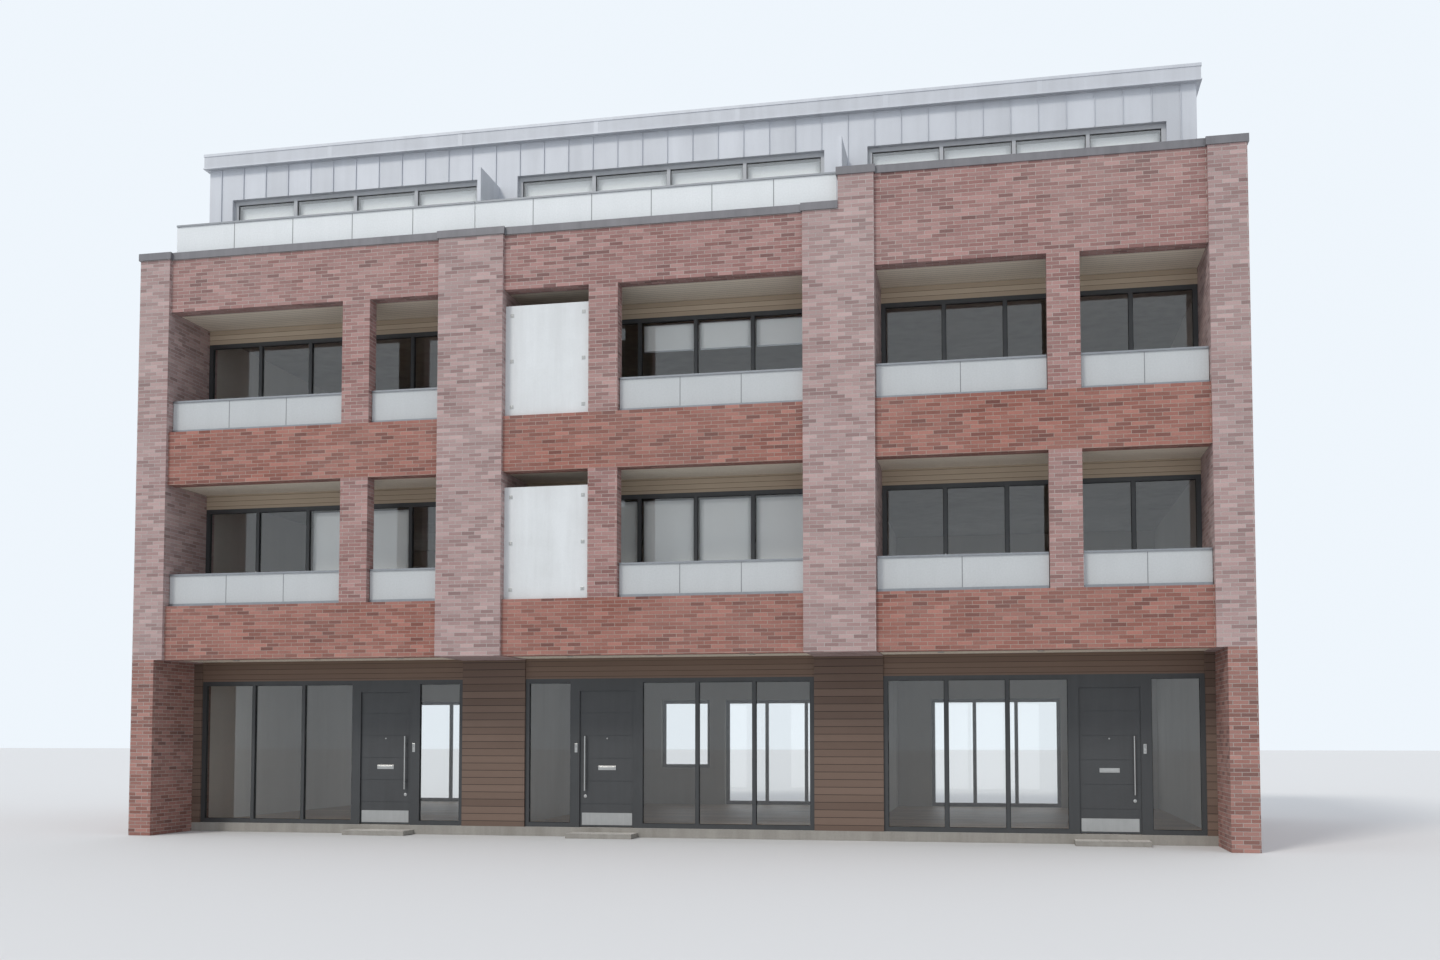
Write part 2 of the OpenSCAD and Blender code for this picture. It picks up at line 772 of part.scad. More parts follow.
module top_glass() {
    color(glass_tint, 0.5) for (i = houses) {
        panes(terrace_window_x0(i), terrace_window_x1(i), floor_z(3), floor_z(3) + terrace_window_h,
              top_wall_y, terrace_lights);
        in_house(i) for (o = rear_openings(3)) {
            z = floor_z(3) + o[2];
            panes(o[0], o[0] + o[1], z, z + o[3], top_rear_frame_y, o[4]);
        }
    }
}

// A flat roof whose covering lies within a kerb, with a drip groove under its edge.
module roof_slab() {
    x = row_w / 2 - roof_side_setback;
    y0 = wall_y - roof_front_overhang;
    y1 = rear_y - roof_rear_setback;
    groove = 20;
    color(metal_pale) difference() {
        block(-x, x, y0, y1, roof_base_z, roof_z);
        block(-x + kerb_w, x - kerb_w, y0 + kerb_w, y1 - kerb_w, roof_z - kerb_h, roof_z + past);
        for (g = [y0 + 2 * groove, y1 - 3 * groove]) {
            block(-x + 2 * groove, x - 2 * groove, g, g + groove, roof_base_z - past, roof_base_z + groove);
        }
    }
}

ground_slab();
left_end_wall();
right_end_wall();
party_walls();
rear_wall();
left_end_pier();
party_piers();
right_end_pier();
lower_band();
middle_band();
front_parapets();
loggia_pillars();
parapet_copings();
first_floor_slab();
second_floor_slab();
terrace_slab();
soffit_boards();
lintel_boards();
ground_wall_panels();
ground_front_frames();
ground_front_glass();
door_frames();
first_floor_frames();
first_floor_glass();
second_floor_frames();
second_floor_glass();
balustrade_shoes();
balustrade_glass();
balustrade_rails();
privacy_panels();
terrace_dividers();
rear_frames();
rear_glass();
window_sills();
top_front_wall();
top_rear_wall();
top_side_walls();
top_frames();
top_glass();
roof_slab();
left_door();
left_door_handle();
middle_door();
middle_door_handle();
right_door();
right_door_handle();
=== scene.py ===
# %% [markdown]
# # A row of three brick terraced houses
#
# The row has a brick grid of piers, bands and pillars with open loggias behind it, a ground
# storey set back under the grid, and a set-back storey clad in grey sheet on top. The real
# construction comes in as a fixed frame, in metres, with the front facing -Y. This lesson
# gives every part its finish, and adds what is too fine for the frame, such as gaskets,
# cladding seams, blinds and bells.

# %% Load the frame
import math

import bmesh
import bpy
from mathutils import Matrix, Vector


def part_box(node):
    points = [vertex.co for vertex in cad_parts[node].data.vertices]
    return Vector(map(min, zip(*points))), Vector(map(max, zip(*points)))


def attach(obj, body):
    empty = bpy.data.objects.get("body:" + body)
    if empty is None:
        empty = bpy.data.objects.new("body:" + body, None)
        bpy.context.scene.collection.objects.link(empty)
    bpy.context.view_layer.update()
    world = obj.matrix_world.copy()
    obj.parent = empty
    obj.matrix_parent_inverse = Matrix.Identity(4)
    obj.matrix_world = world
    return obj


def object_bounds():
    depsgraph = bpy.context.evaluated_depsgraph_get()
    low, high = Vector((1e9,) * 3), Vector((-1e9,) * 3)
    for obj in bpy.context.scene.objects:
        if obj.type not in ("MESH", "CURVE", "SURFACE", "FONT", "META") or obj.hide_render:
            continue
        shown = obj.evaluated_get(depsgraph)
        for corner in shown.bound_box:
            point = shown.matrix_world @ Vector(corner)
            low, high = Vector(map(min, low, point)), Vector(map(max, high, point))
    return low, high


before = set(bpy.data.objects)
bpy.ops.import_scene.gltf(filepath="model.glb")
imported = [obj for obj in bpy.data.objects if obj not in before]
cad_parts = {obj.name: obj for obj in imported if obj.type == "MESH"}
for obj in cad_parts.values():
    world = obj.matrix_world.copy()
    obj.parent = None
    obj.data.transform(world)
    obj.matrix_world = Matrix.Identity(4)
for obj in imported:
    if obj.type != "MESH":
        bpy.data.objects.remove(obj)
frame_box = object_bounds()
low, high = frame_box
print("nodes:", len(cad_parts), "size:", [round(b - a, 3) for a, b in zip(low, high)])


# %% Adding an object
def add_object(name, data):
    """Puts a mesh, lamp or camera into the scene under its own name."""
    added = bpy.data.objects.new(name, data)
    bpy.context.scene.collection.objects.link(added)
    return added


# %% [markdown]
# ## Camera
#
# The photo was taken from eye height in front of the right house, with the camera turned to
# the left. Upright lines stay almost upright in it, although the horizon lies low. So the
# camera is tilted up by only 3 degrees, and its lens is shifted up for the rest. The copings
# stand a little out from the brick, whose face lies that far inside the frame's box.

# %% Camera
COPING_OUT = 0.025
TURN = math.radians(11.5)
TILT = math.radians(3)
EYE_HEIGHT = 1.64
FROM_LEFT_END = 14.27
FROM_FRONT = 20.68
LENS_MM = 34.5
LENS_SHIFT = 0.128
FARTHEST_SEEN = 500
front_y = low.y + COPING_OUT

camera_data = bpy.data.cameras.new("front_camera")
camera_data.sensor_width = 36
camera_data.lens = LENS_MM
camera_data.shift_y = LENS_SHIFT
camera_data.clip_end = FARTHEST_SEEN
camera = add_object("front_camera", camera_data)
camera.location = (low.x + COPING_OUT + FROM_LEFT_END, front_y - FROM_FRONT, EYE_HEIGHT)
look = Vector((-math.sin(TURN), math.cos(TURN), math.tan(TILT)))
camera.rotation_euler = look.to_track_quat("-Z", "Y").to_euler()
bpy.context.scene.camera = camera
print("camera at", [round(c, 2) for c in camera.location])

# %% [markdown]
# ## Building with nodes
#
# A finish is a web of nodes, and a few helpers keep its lines short. Each one takes numbers,
# colours or the sockets of other nodes. A socket knows its own node tree, so the tree rarely
# has to be named.

# %% Helpers for nodes
def is_socket(value):
    return isinstance(value, bpy.types.NodeSocket)


def fill(node, values):
    """Fills a node's inputs, by label or number, with sockets, numbers or colours."""
    for key, value in values.items():
        socket = node.inputs[key]
        if is_socket(value):
            node.id_data.links.new(value, socket)
        elif socket.type == "RGBA":
            socket.default_value = (*value[:3], 1)
        else:
            socket.default_value = value


def add_node(tree, kind, values, **settings):
    """Adds a node, sets its properties and then fills its inputs. Gives back the node."""
    node = tree.nodes.new("ShaderNode" + kind)
    for name, value in settings.items():
        setattr(node, name, value)
    fill(node, values)
    return node


def math_node(operation, a, b=0.0, clamp=False):
    """A Math node, of which at least one side is a socket."""
    tree = (a if is_socket(a) else b).id_data
    return add_node(tree, "Math", {0: a, 1: b}, operation=operation, use_clamp=clamp).outputs[0]


def plus(a, b, clamp=False):
    return math_node("ADD", a, b, clamp)


def minus(a, b, clamp=False):
    return math_node("SUBTRACT", a, b, clamp)


def times(a, b, clamp=False):
    return math_node("MULTIPLY", a, b, clamp)


def above(value, level):
    """1 where this is true, else 0, and so for the next two."""
    return math_node("GREATER_THAN", value, level)


def below(value, level):
    return math_node("LESS_THAN", value, level)


def between(value, lowest, highest):
    return times(above(value, lowest), below(value, highest))


def either(choose, yes, no):
    """The value yes where choose is 1, and no where it is 0."""
    return plus(times(minus(yes, no), choose), no)


def mix(factor, a, b, blend="MIX"):
    """Blends colour b over colour a by a factor. The plain blend gives a at 0 and b at 1."""
    tree = next(value for value in (factor, a, b) if is_socket(value)).id_data
    return add_node(tree, "Mix", {0: factor, 6: a, 7: b}, data_type="RGBA", blend_type=blend).outputs[2]


def noise(vector, scale, detail, rough):
    """A cloudy value from 0 to 1 that changes over the surface."""
    return add_node(vector.id_data, "TexNoise", {"Vector": vector, "Scale": scale, "Detail": detail,
                                                 "Roughness": rough}).outputs["Fac"]


def separated(vector):
    """The X, Y and Z of a vector."""
    return add_node(vector.id_data, "SeparateXYZ", {0: vector}).outputs


def combined(x, y):
    return add_node(x.id_data, "CombineXYZ", {0: x, 1: y}).outputs[0]


def object_place(tree):
    """Where a point is, in the frame's own metres."""
    return add_node(tree, "TexCoord", {}).outputs["Object"]


def facing_of(tree):
    """The X, Y and Z of the way that the surface faces."""
    return separated(add_node(tree, "NewGeometry", {}).outputs["Normal"])


print("node helpers ready")

# %% [markdown]
# ## Sky and light
#
# The light is soft: a pale sky all round and one large warm sun, high on the left. The
# camera, glass and metal see the sky as near white, and the rest is lit a little less.

# %% Sky
SKY_LIGHT = (0.90, 0.94, 1.0)
SKY_LEVEL = 0.85
SKY_SEEN = (0.86, 0.92, 0.98)

world = bpy.data.worlds.new("pale_sky")
bpy.context.scene.world = world
world.use_nodes = True
tree = world.node_tree
tree.nodes.clear()
rays = add_node(tree, "LightPath", {}).outputs
mirrored_or_clear = math_node("MAXIMUM", rays["Is Glossy Ray"], rays["Is Transmission Ray"])
soft = add_node(tree, "Background", {"Color": SKY_LIGHT, "Strength": SKY_LEVEL})
seen = add_node(tree, "Background", {"Color": SKY_SEEN, "Strength": 1.0})
both = add_node(tree, "MixShader", {0: math_node("MAXIMUM", rays["Is Camera Ray"], mirrored_or_clear),
                                    1: soft.outputs[0], 2: seen.outputs[0]})
add_node(tree, "OutputWorld", {"Surface": both.outputs[0]})
print("world:", world.name)

# %% Sun and view settings
SUN_STRENGTH = 1.2
SUN_WIDTH = math.radians(12)
SUN_WARMTH = (1.0, 0.95, 0.88)
SUNLIGHT_GOES = Vector((0.45, 0.80, -0.85))

sun_data = bpy.data.lights.new("hazy_sun", "SUN")
sun_data.energy = SUN_STRENGTH
sun_data.angle = SUN_WIDTH
sun_data.color = SUN_WARMTH
sun = add_object("hazy_sun", sun_data)
sun.rotation_euler = SUNLIGHT_GOES.to_track_quat("-Z", "Y").to_euler()
bpy.context.scene.view_settings.view_transform = "Standard"
print("sun:", sun.name)

# %% [markdown]
# ## Making a material
#
# Each finish is one Principled shader. What changes over the surface comes from node groups,
# which finishes share with their own values. The two main groups put out a look: a colour,
# a roughness and a height, which a Bump node turns into relief.

# %% Helpers for materials
# What a finish's group puts out, in the order that dress takes it
LOOK = {"Color": "Color", "Roughness": "Float", "Height": "Float"}
materials = {}


def new_material(name, color, roughness, metallic=0.0):
    """Starts a material and keeps it under its name. Gives back its tree and its shader."""
    material = materials[name] = bpy.data.materials.new(name)
    material.use_nodes = True
    shader = material.node_tree.nodes["Principled BSDF"]
    fill(shader, {"Base Color": color, "Roughness": roughness, "Metallic": metallic})
    return material.node_tree, shader


def dress(shader, color, roughness, height, depth, strength=0.5):
    """Feeds a shader's colour, roughness and, through a Bump node, its relief."""
    bump = add_node(shader.id_data, "Bump", {"Distance": depth, "Strength": strength, "Height": height})
    fill(shader, {"Base Color": color, "Roughness": roughness, "Normal": bump.outputs["Normal"]})


def srgb(*numbers):
    """A colour given as the 0 to 255 numbers of a screen, for the shader's sockets."""
    shares = [number / 255 for number in numbers]
    return tuple(c / 12.92 if c <= 0.04045 else ((c + 0.055) / 1.055) ** 2.4 for c in shares)


def new_group(name, inputs, outputs):
    """An empty node group, what its inputs give, and its output node."""
    group = bpy.data.node_groups.new(name, "ShaderNodeTree")
    for way, sockets in (("INPUT", inputs), ("OUTPUT", outputs)):
        for label, kind in sockets.items():
            group.interface.new_socket(name=label, in_out=way, socket_type="NodeSocket" + kind)
    return group, group.nodes.new("NodeGroupInput").outputs, group.nodes.new("NodeGroupOutput")


def place_group(group, *values):
    """Places a group, fills its inputs in their order, a socket first, and gives its outputs."""
    return add_node(values[0].id_data, "Group", dict(enumerate(values)), node_tree=group).outputs


print("material helpers ready")

# %% [markdown]
# ## Brickwork
#
# The bricks are 210 mm long and 50 mm high, in stretcher bond with 10 mm joints of pale grey
# mortar. A Brick texture draws them in two dimensions, so a wall's place along X or Y is
# picked by the way that its face looks: faces that look along X are drawn along Y, and the
# rest along X. Undersides and tops use X and Y. Each brick gets a tone of its own, a few are
# burnt dark, and the joints wander a little, because no brick is quite straight.

# %% Group: wall coordinates
# A face looks along an axis where that part of its normal is above this, its size at about 45 degrees.
HALF_TURNED = 0.7


def looks_along(facing, axis):
    return above(math_node("ABSOLUTE", facing[axis]), HALF_TURNED)


wall_uv, given, result = new_group("wall_uv", {"Vector": "Vector"}, {"UV": "Vector"})
at = separated(given["Vector"])
facing = facing_of(wall_uv)
across = either(looks_along(facing, 0), at[1], at[0])
up = either(looks_along(facing, 2), at[1], at[2])
fill(result, {"UV": combined(across, up)})
print("group:", wall_uv.name)

# %% Group: a random number for each brick
BRICK_LENGTH = 0.22
ROW_HEIGHT = 0.06
BRICK_JOINT = 0.01

brick_lot, given, result = new_group("brick_lot", {"UV": "Vector"}, {"Lot": "Float"})
at = separated(given["UV"])
row = math_node("FLOOR", math_node("DIVIDE", at[1], ROW_HEIGHT))
even_row = below(math_node("FRACT", times(row, 0.5)), 0.25)
along = plus(at[0], times(even_row, BRICK_LENGTH / 2))
brick_number = math_node("FLOOR", math_node("DIVIDE", along, BRICK_LENGTH))
lot = add_node(brick_lot, "TexWhiteNoise", {"Vector": combined(brick_number, row)}, noise_dimensions="2D")
fill(result, {"Lot": lot.outputs["Value"]})
print("group:", brick_lot.name)


# %% Drawing bricks, tiles and boards
def brick_texture(vector, sizes, colors, smooth=0.1, bias=0.0, offset=0.5):
    """A Brick texture from a length, height and joint in metres, and two tones and a joint's."""
    length, height, gap = sizes
    first, second, mortar = colors
    return add_node(vector.id_data, "TexBrick", {
        "Vector": vector, "Scale": 1.0, "Brick Width": length, "Row Height": height,
        "Mortar Size": gap / 2, "Mortar Smooth": smooth, "Bias": bias,
        "Color1": first, "Color2": second, "Mortar": mortar}, offset=offset).outputs


print("a wall takes", round(1 / (BRICK_LENGTH * ROW_HEIGHT)), "bricks a square metre")

# %% Group: bricks
BLACK, WHITE = (0, 0, 0), (1, 1, 1)
BURNT_BRICK = (0.055, 0.04, 0.045)
LIME_BLOOM = (0.62, 0.58, 0.56)
JOINT_WANDER = 0.008

brickwork, given, result = new_group("brickwork", {
    "Vector": "Vector", "Light brick": "Color", "Dark brick": "Color", "Mortar": "Color",
    "Burnt": "Float", "Stain": "Float"}, LOOK)
where = given["Vector"]
wander = add_node(brickwork, "TexNoise", {"Scale": 11, "Detail": 3, "Vector": where})
bent = add_node(brickwork, "VectorMath", {
    0: wander.outputs["Color"], 1: (JOINT_WANDER, JOINT_WANDER, 0),
    2: place_group(wall_uv, where)["UV"]}, operation="MULTIPLY_ADD").outputs[0]
brick_sizes = (BRICK_LENGTH, ROW_HEIGHT, BRICK_JOINT)
tones = [given[label] for label in ("Light brick", "Dark brick", "Mortar")]
bricks = brick_texture(bent, brick_sizes, tones, smooth=0.15)
# The same bricks in black and white, biased so that only a few are picked.
picked = brick_texture(bent, brick_sizes, (BLACK, WHITE, BLACK), smooth=0.15, bias=-0.55)
burnt = times(above(picked["Color"], 0.36), given["Burnt"])
fine = noise(where, 60, 5, 0.7)
broad = noise(where, 0.55, 4, 0.6)
sand = noise(where, 320, 3, 0.75)
pits = times(minus(fine, 0.56, clamp=True), 5.0, clamp=True)
own_tone = times(place_group(brick_lot, bent)["Lot"], 0.30)
grain = plus(times(fine, 0.75), times(sand, 0.75))
level = minus(plus(plus(grain, own_tone), 0.14), times(pits, 0.25))
speckled = mix(1.0, mix(burnt, bricks["Color"], BURNT_BRICK), level, "MULTIPLY")
stain = times(minus(broad, 0.35, clamp=True), given["Stain"])
face = minus(1.0, bricks["Fac"])
relief = plus(plus(times(face, 0.72), times(fine, 0.18)), times(sand, 0.14))
fill(result, {"Color": mix(stain, speckled, LIME_BLOOM),
              "Roughness": plus(times(fine, 0.15), 0.78),
              "Height": minus(relief, times(pits, 0.18))})
print("group:", brickwork.name)

# %% Brick finishes
BRICK_RELIEF = 0.008


def brick_finish(name, tones, burnt, stain):
    """Brickwork in three tones: light brick, dark brick and mortar."""
    tree, shader = new_material(name, tones[0], 0.85)
    dress(shader, *place_group(brickwork, object_place(tree), *tones, burnt, stain), BRICK_RELIEF)


brick_finish("red_brick", (srgb(160, 109, 98), srgb(125, 76, 66), srgb(152, 134, 124)), 0.22, 0.22)
brick_finish("parapet_brick", (srgb(166, 129, 125), srgb(133, 94, 90), srgb(166, 154, 148)), 0.20, 0.28)
print("finishes:", list(materials))

# %% [markdown]
# ## Paint, plaster and metal
#
# Even a plain finish gathers grime and has a fine grain, and one group gives both: a broad
# noise and one stretched down the wall, as rain runs, make the grime, and a fine noise
# makes the grain. A table holds the plain finishes' values.

# %% Group: weathering
RUN_STRETCH = (5.0, 5.0, 0.35)

weathering, given, result = new_group("weathering", {
    "Vector": "Vector", "Base": "Color", "Grime": "Color", "Amount": "Float", "Scale": "Float",
    "Fine scale": "Float", "Roughness": "Float"}, LOOK)
where = given["Vector"]
broad = noise(where, given["Scale"], 5, 0.62)
fine = noise(where, given["Fine scale"], 4, 0.62)
stretch = add_node(weathering, "Mapping", {"Scale": RUN_STRETCH, "Vector": where}).outputs[0]
runs = noise(stretch, given["Scale"], 3, 0.62)
dirty = times(minus(times(plus(broad, runs), 0.5), 0.38, clamp=True), 4.0, clamp=True)
dirty = times(dirty, given["Amount"])
toned = mix(dirty, given["Base"], given["Grime"])
flecks = plus(times(fine, 0.24), 0.88)
fill(result, {"Color": mix(1.0, toned, flecks, "MULTIPLY"),
              "Roughness": plus(times(dirty, 0.2), given["Roughness"]), "Height": fine})
print("group:", weathering.name)

# %% Plain weathered finishes
# Colour, grime, its amount, roughness, metal, scale, fine scale, and the relief's depth and strength
PLAIN_FINISHES = {
    "plaster": ((196, 193, 187), (164, 160, 152), 0.35, 0.85, 0.0, 0.7, 45, 0.001, 0.3),
    "coping_metal": ((124, 123, 127), (92, 92, 96), 0.45, 0.42, 0.25, 1.4, 90, 0.0006, 0.3),
    "frame_metal": ((62, 64, 66), (44, 45, 46), 0.3, 0.36, 0.0, 2.0, 240, 0.0002, 0.2),
    "pale_frame": ((188, 191, 195), (150, 152, 156), 0.25, 0.36, 0.0, 2.0, 240, 0.0002, 0.2),
    "rail_metal": ((150, 153, 157), (110, 112, 116), 0.25, 0.34, 0.75, 3.0, 300, 0.0002, 0.15),
    "brushed_steel": ((182, 182, 180), (140, 140, 138), 0.2, 0.28, 1.0, 6.0, 500, 0.0001, 0.2),
    "door_paint": ((66, 68, 70), (48, 48, 50), 0.3, 0.40, 0.0, 1.8, 200, 0.0003, 0.2),
    "white_lacquer": ((220, 224, 226), (178, 180, 180), 0.3, 0.38, 0.0, 1.1, 120, 0.0002, 0.15),
    "rubber": ((34, 34, 35), (58, 56, 54), 0.3, 0.72, 0.0, 4.0, 200, 0.0003, 0.25),
    "edge_grey": ((204, 208, 215), (166, 169, 174), 0.35, 0.42, 0.15, 1.0, 90, 0.0006, 0.3),
    "sealant": ((128, 131, 134), (92, 94, 96), 0.3, 0.6, 0.0, 5.0, 150, 0.0006, 0.3),
    "lens_plastic": ((232, 230, 222), (214, 210, 200), 0.2, 0.35, 0.0, 6.0, 300, 0.0001, 0.1),
}
for name, (color, grime, amount, roughness, metallic, scale, fine, *bump) in PLAIN_FINISHES.items():
    tree, shader = new_material(name, srgb(*color), roughness, metallic)
    values = (srgb(*color), srgb(*grime), amount, scale, fine, roughness)
    dress(shader, *place_group(weathering, object_place(tree), *values), *bump)
print("plain finishes:", len(PLAIN_FINISHES))

# %% [markdown]
# ## Boards
#
# Boards and sheets repeat across a wall, so one group cuts a distance into boards of a given
# width, and gives a joint line and a tone for each. The soffits and the boards over the
# loggia windows are pale. A stain turns those over the ground storey's windows brown.

# %% Group: boards
# The input Joint is a share of the width.
board_joints, given, result = new_group(
    "board_joints", {"Along": "Float", "Width": "Float", "Joint": "Float"},
    {"Joint mask": "Float", "Tone": "Float"})
steps = math_node("DIVIDE", given["Along"], given["Width"])
within = math_node("FRACT", steps)
edge = math_node("MINIMUM", within, minus(1.0, within))
whole = add_node(board_joints, "TexWhiteNoise", {"W": math_node("FLOOR", steps)}, noise_dimensions="1D")
fill(result, {"Joint mask": below(edge, given["Joint"]), "Tone": whole.outputs["Value"]})
print("group:", board_joints.name)

# %% Boarded finish
# The share of red, green and blue that a brown stain leaves of pale wood
WOOD_STAIN = (0.34, 0.275, 0.27)
GRAIN_STRETCH = 14
BOARD_ROUGHNESS = 0.7


def boarded_finish(name, light, dark, width, axis, stained_below=None):
    """Boards laid side by side along an axis of the house: 0 for X, 1 for Y, 2 for Z."""
    tree, shader = new_material(name, light, BOARD_ROUGHNESS)
    where = object_place(tree)
    at = separated(where)
    boards = place_group(board_joints, at[axis], width, 0.035)
    grain_scale = [GRAIN_STRETCH if axis == side else 1.0 for side in range(3)]
    grain_place = add_node(tree, "Mapping", {"Scale": grain_scale, "Vector": where}).outputs[0]
    grain = noise(grain_place, 7, 6, 0.65)
    tone = plus(times(boards["Tone"], 0.5), times(plus(grain, noise(where, 0.9, 3, 0.6)), 0.3))
    groove = tuple(c * 0.35 for c in dark)
    shade = mix(boards["Joint mask"], mix(tone, dark, light), groove)
    if stained_below is not None:
        stained = mix(1.0, shade, WOOD_STAIN, "MULTIPLY")
        shade = mix(below(at[2], stained_below), shade, stained)
    dress(shader, shade, plus(times(grain, 0.2), BOARD_ROUGHNESS - 0.1),
          minus(times(grain, 0.12), boards["Joint mask"]), 0.006, 0.6)


boarded_finish("soffit_board", srgb(248, 238, 222), srgb(226, 214, 196), 0.09, 1)
boarded_finish("lintel_board", srgb(204, 188, 166), srgb(164, 146, 126), 0.085, 2,
               stained_below=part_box("first_floor_slab")[1].z)
boarded_finish("wall_board", srgb(122, 102, 90), srgb(88, 70, 60), 0.12, 2)
print("finishes so far:", len(materials))

# %% [markdown]
# ## One wall, two faces
#
# A house wall is brick outside and plaster inside, but in the frame each wall is one solid.
# So its material chooses by place: it compares a point's own X, Y and Z with the lines where
# the rooms begin, and mixes both looks by that mask.

# %% Where the rooms begin
wall_line_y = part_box("ground_wall_panels")[0].y
row_half = abs(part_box("left_end_wall")[0].x)
rear_inner_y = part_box("rear_wall")[0].y
terrace_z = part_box("terrace_slab")[1].z
top_low, top_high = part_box("top_front_wall")[0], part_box("top_rear_wall")[1]
print("rooms begin at y", round(wall_line_y, 3), "and the terrace floor is at", round(terrace_z, 3))

# %% Walls that are plastered inside
# The mask ends inside the walls, this far from one of their faces.
IN_END_WALL = 0.2
IN_REAR_WALL = 0.15
JUST = 0.01


def room_mask(at):
    """1 on the faces of walls that look into a room of the three lower storeys, or of the top one."""
    end = row_half - IN_END_WALL
    lower = times(between(at[0], -end, end),
                  between(at[1], wall_line_y + 2 * JUST, rear_inner_y + IN_REAR_WALL))
    upper = times(between(at[0], top_low.x + IN_END_WALL, top_high.x - IN_END_WALL),
                  between(at[1], top_low.y + IN_REAR_WALL, top_high.y - IN_REAR_WALL))
    level = terrace_z - JUST
    return plus(times(lower, below(at[2], level)), times(upper, above(at[2], level)), clamp=True)


def plastered(where):
    return place_group(weathering, where, srgb(206, 203, 196), srgb(182, 178, 170), 0.3, 0.7, 45.0, 0.85)


END_WALL_TONES = (srgb(162, 118, 109), srgb(126, 83, 74), srgb(158, 148, 142))

tree, shader = new_material("lined_red_brick", END_WALL_TONES[0], 0.85)
where = object_place(tree)
outside = place_group(brickwork, where, *END_WALL_TONES, 0.25, 0.25)
inside = plastered(where)
mask = room_mask(separated(where))
dress(shader, mix(mask, outside["Color"], inside["Color"]),
      either(mask, inside["Roughness"], outside["Roughness"]),
      either(mask, times(inside["Height"], 0.1), outside["Height"]), BRICK_RELIEF)
print("finishes so far:", len(materials))

# %% Pier finish
# Pale brick, but the end wall's own bricks on the sides that lie flush with that wall
PIER_TONES = (srgb(176, 150, 148), srgb(146, 118, 116), srgb(170, 162, 158))

tree, shader = new_material("pale_brick", PIER_TONES[0], 0.85)
where = object_place(tree)
at_end = above(math_node("ABSOLUTE", separated(where)[0]), row_half - JUST / 2)
flush = times(at_end, looks_along(facing_of(tree), 0))
light, dark = [mix(flush, pier, wall) for pier, wall in zip(PIER_TONES[:2], END_WALL_TONES)]
dress(shader, *place_group(brickwork, where, light, dark, PIER_TONES[2], 0.12, 0.30), BRICK_RELIEF)
print("finishes so far:", len(materials))

# %% [markdown]
# ## Floors, roof and cladding
#
# Rooms have a timber floor, loggias and terraces have square grey tiles, and the undersides
# stay as cast concrete. The roof is a grey membrane in 1.05 m sheets, welded at the laps.
# The cladding is pale sheet. Its seams are real ribs, added later, its slight buckling is
# bump, and its sheets differ a little in tone, as sheets from different coils do.

# %% Floor finish
CONCRETE = srgb(158, 155, 149)
FLOORBOARD_SIZES = (1.9, 0.14, 0.0024)
FLOORBOARD_TONES = (srgb(176, 146, 112), srgb(148, 118, 88), srgb(70, 54, 42))
TILE_SIZES = (0.4, 0.4, 0.006)
TILE_TONES = (srgb(212, 209, 204), srgb(196, 193, 189), srgb(108, 106, 103))
# The floors change under the front and rear walls, this far past one of their faces.
UNDER_FRONT, UNDER_REAR = 0.08, 0.1


def floor_finish(name, upper_level):
    """Timber in the rooms, tiles outside, concrete under and at the edges."""
    tree, shader = new_material(name, CONCRETE, 0.75)
    where = object_place(tree)
    at = separated(where)
    concrete = place_group(weathering, where, CONCRETE, srgb(116, 112, 106), 0.5, 0.9, 35.0, 0.8)
    boards = brick_texture(where, FLOORBOARD_SIZES, FLOORBOARD_TONES, offset=0.37)
    tiles = brick_texture(where, TILE_SIZES, TILE_TONES, offset=0.0)
    room_front = (top_low.y if upper_level else wall_line_y) + UNDER_FRONT
    room_rear = top_high.y - UNDER_REAR if upper_level else rear_inner_y + UNDER_REAR
    room = between(at[1], room_front, room_rear)
    if upper_level:
        room = times(room, between(at[0], top_low.x, top_high.x))
    upward = above(facing_of(tree)[2], HALF_TURNED)
    speck = plus(times(noise(where, 30, 4, 0.6), 0.3), 0.85)
    top_color = mix(1.0, mix(room, tiles["Color"], boards["Color"]), speck, "MULTIPLY")
    joints = times(either(room, boards["Fac"], tiles["Fac"]), upward)
    dress(shader, mix(upward, concrete["Color"], top_color),
          minus(concrete["Roughness"], times(times(room, upward), 0.35)),
          minus(times(concrete["Height"], 0.3), joints), 0.003)


floor_finish("storey_floor", False)
floor_finish("terrace_floor", True)
print("finishes so far:", len(materials))

# %% Cladding finish
# Sheets between seams, set out along X on the front and rear and along Y on the sides
SEAM_PITCH = 0.43
CLAD_GREY = srgb(206, 210, 217)

tree, shader = new_material("cladding", CLAD_GREY, 0.5, 0.15)
where = object_place(tree)
along_wall = separated(place_group(wall_uv, where)["UV"])[0]
sheets = place_group(board_joints, along_wall, SEAM_PITCH, 0.008)
metal = place_group(weathering, where, CLAD_GREY, [c * 0.72 for c in CLAD_GREY], 0.35, 0.8, 80.0, 0.45)
inside = plastered(where)
sheet_color = mix(1.0, metal["Color"], plus(times(sheets["Tone"], 0.10), 0.92), "MULTIPLY")
mask = room_mask(separated(where))
height = minus(noise(where, 2.2, 2, 0.5), times(sheets["Joint mask"], 0.4))
dress(shader, mix(mask, sheet_color, inside["Color"]),
      either(mask, inside["Roughness"], metal["Roughness"]),
      times(height, minus(1.0, mask)), 0.006, 0.35)
print("cladding sheets are", SEAM_PITCH, "m wide")

# %% Roof finish
ROOF_SHEET = 1.05

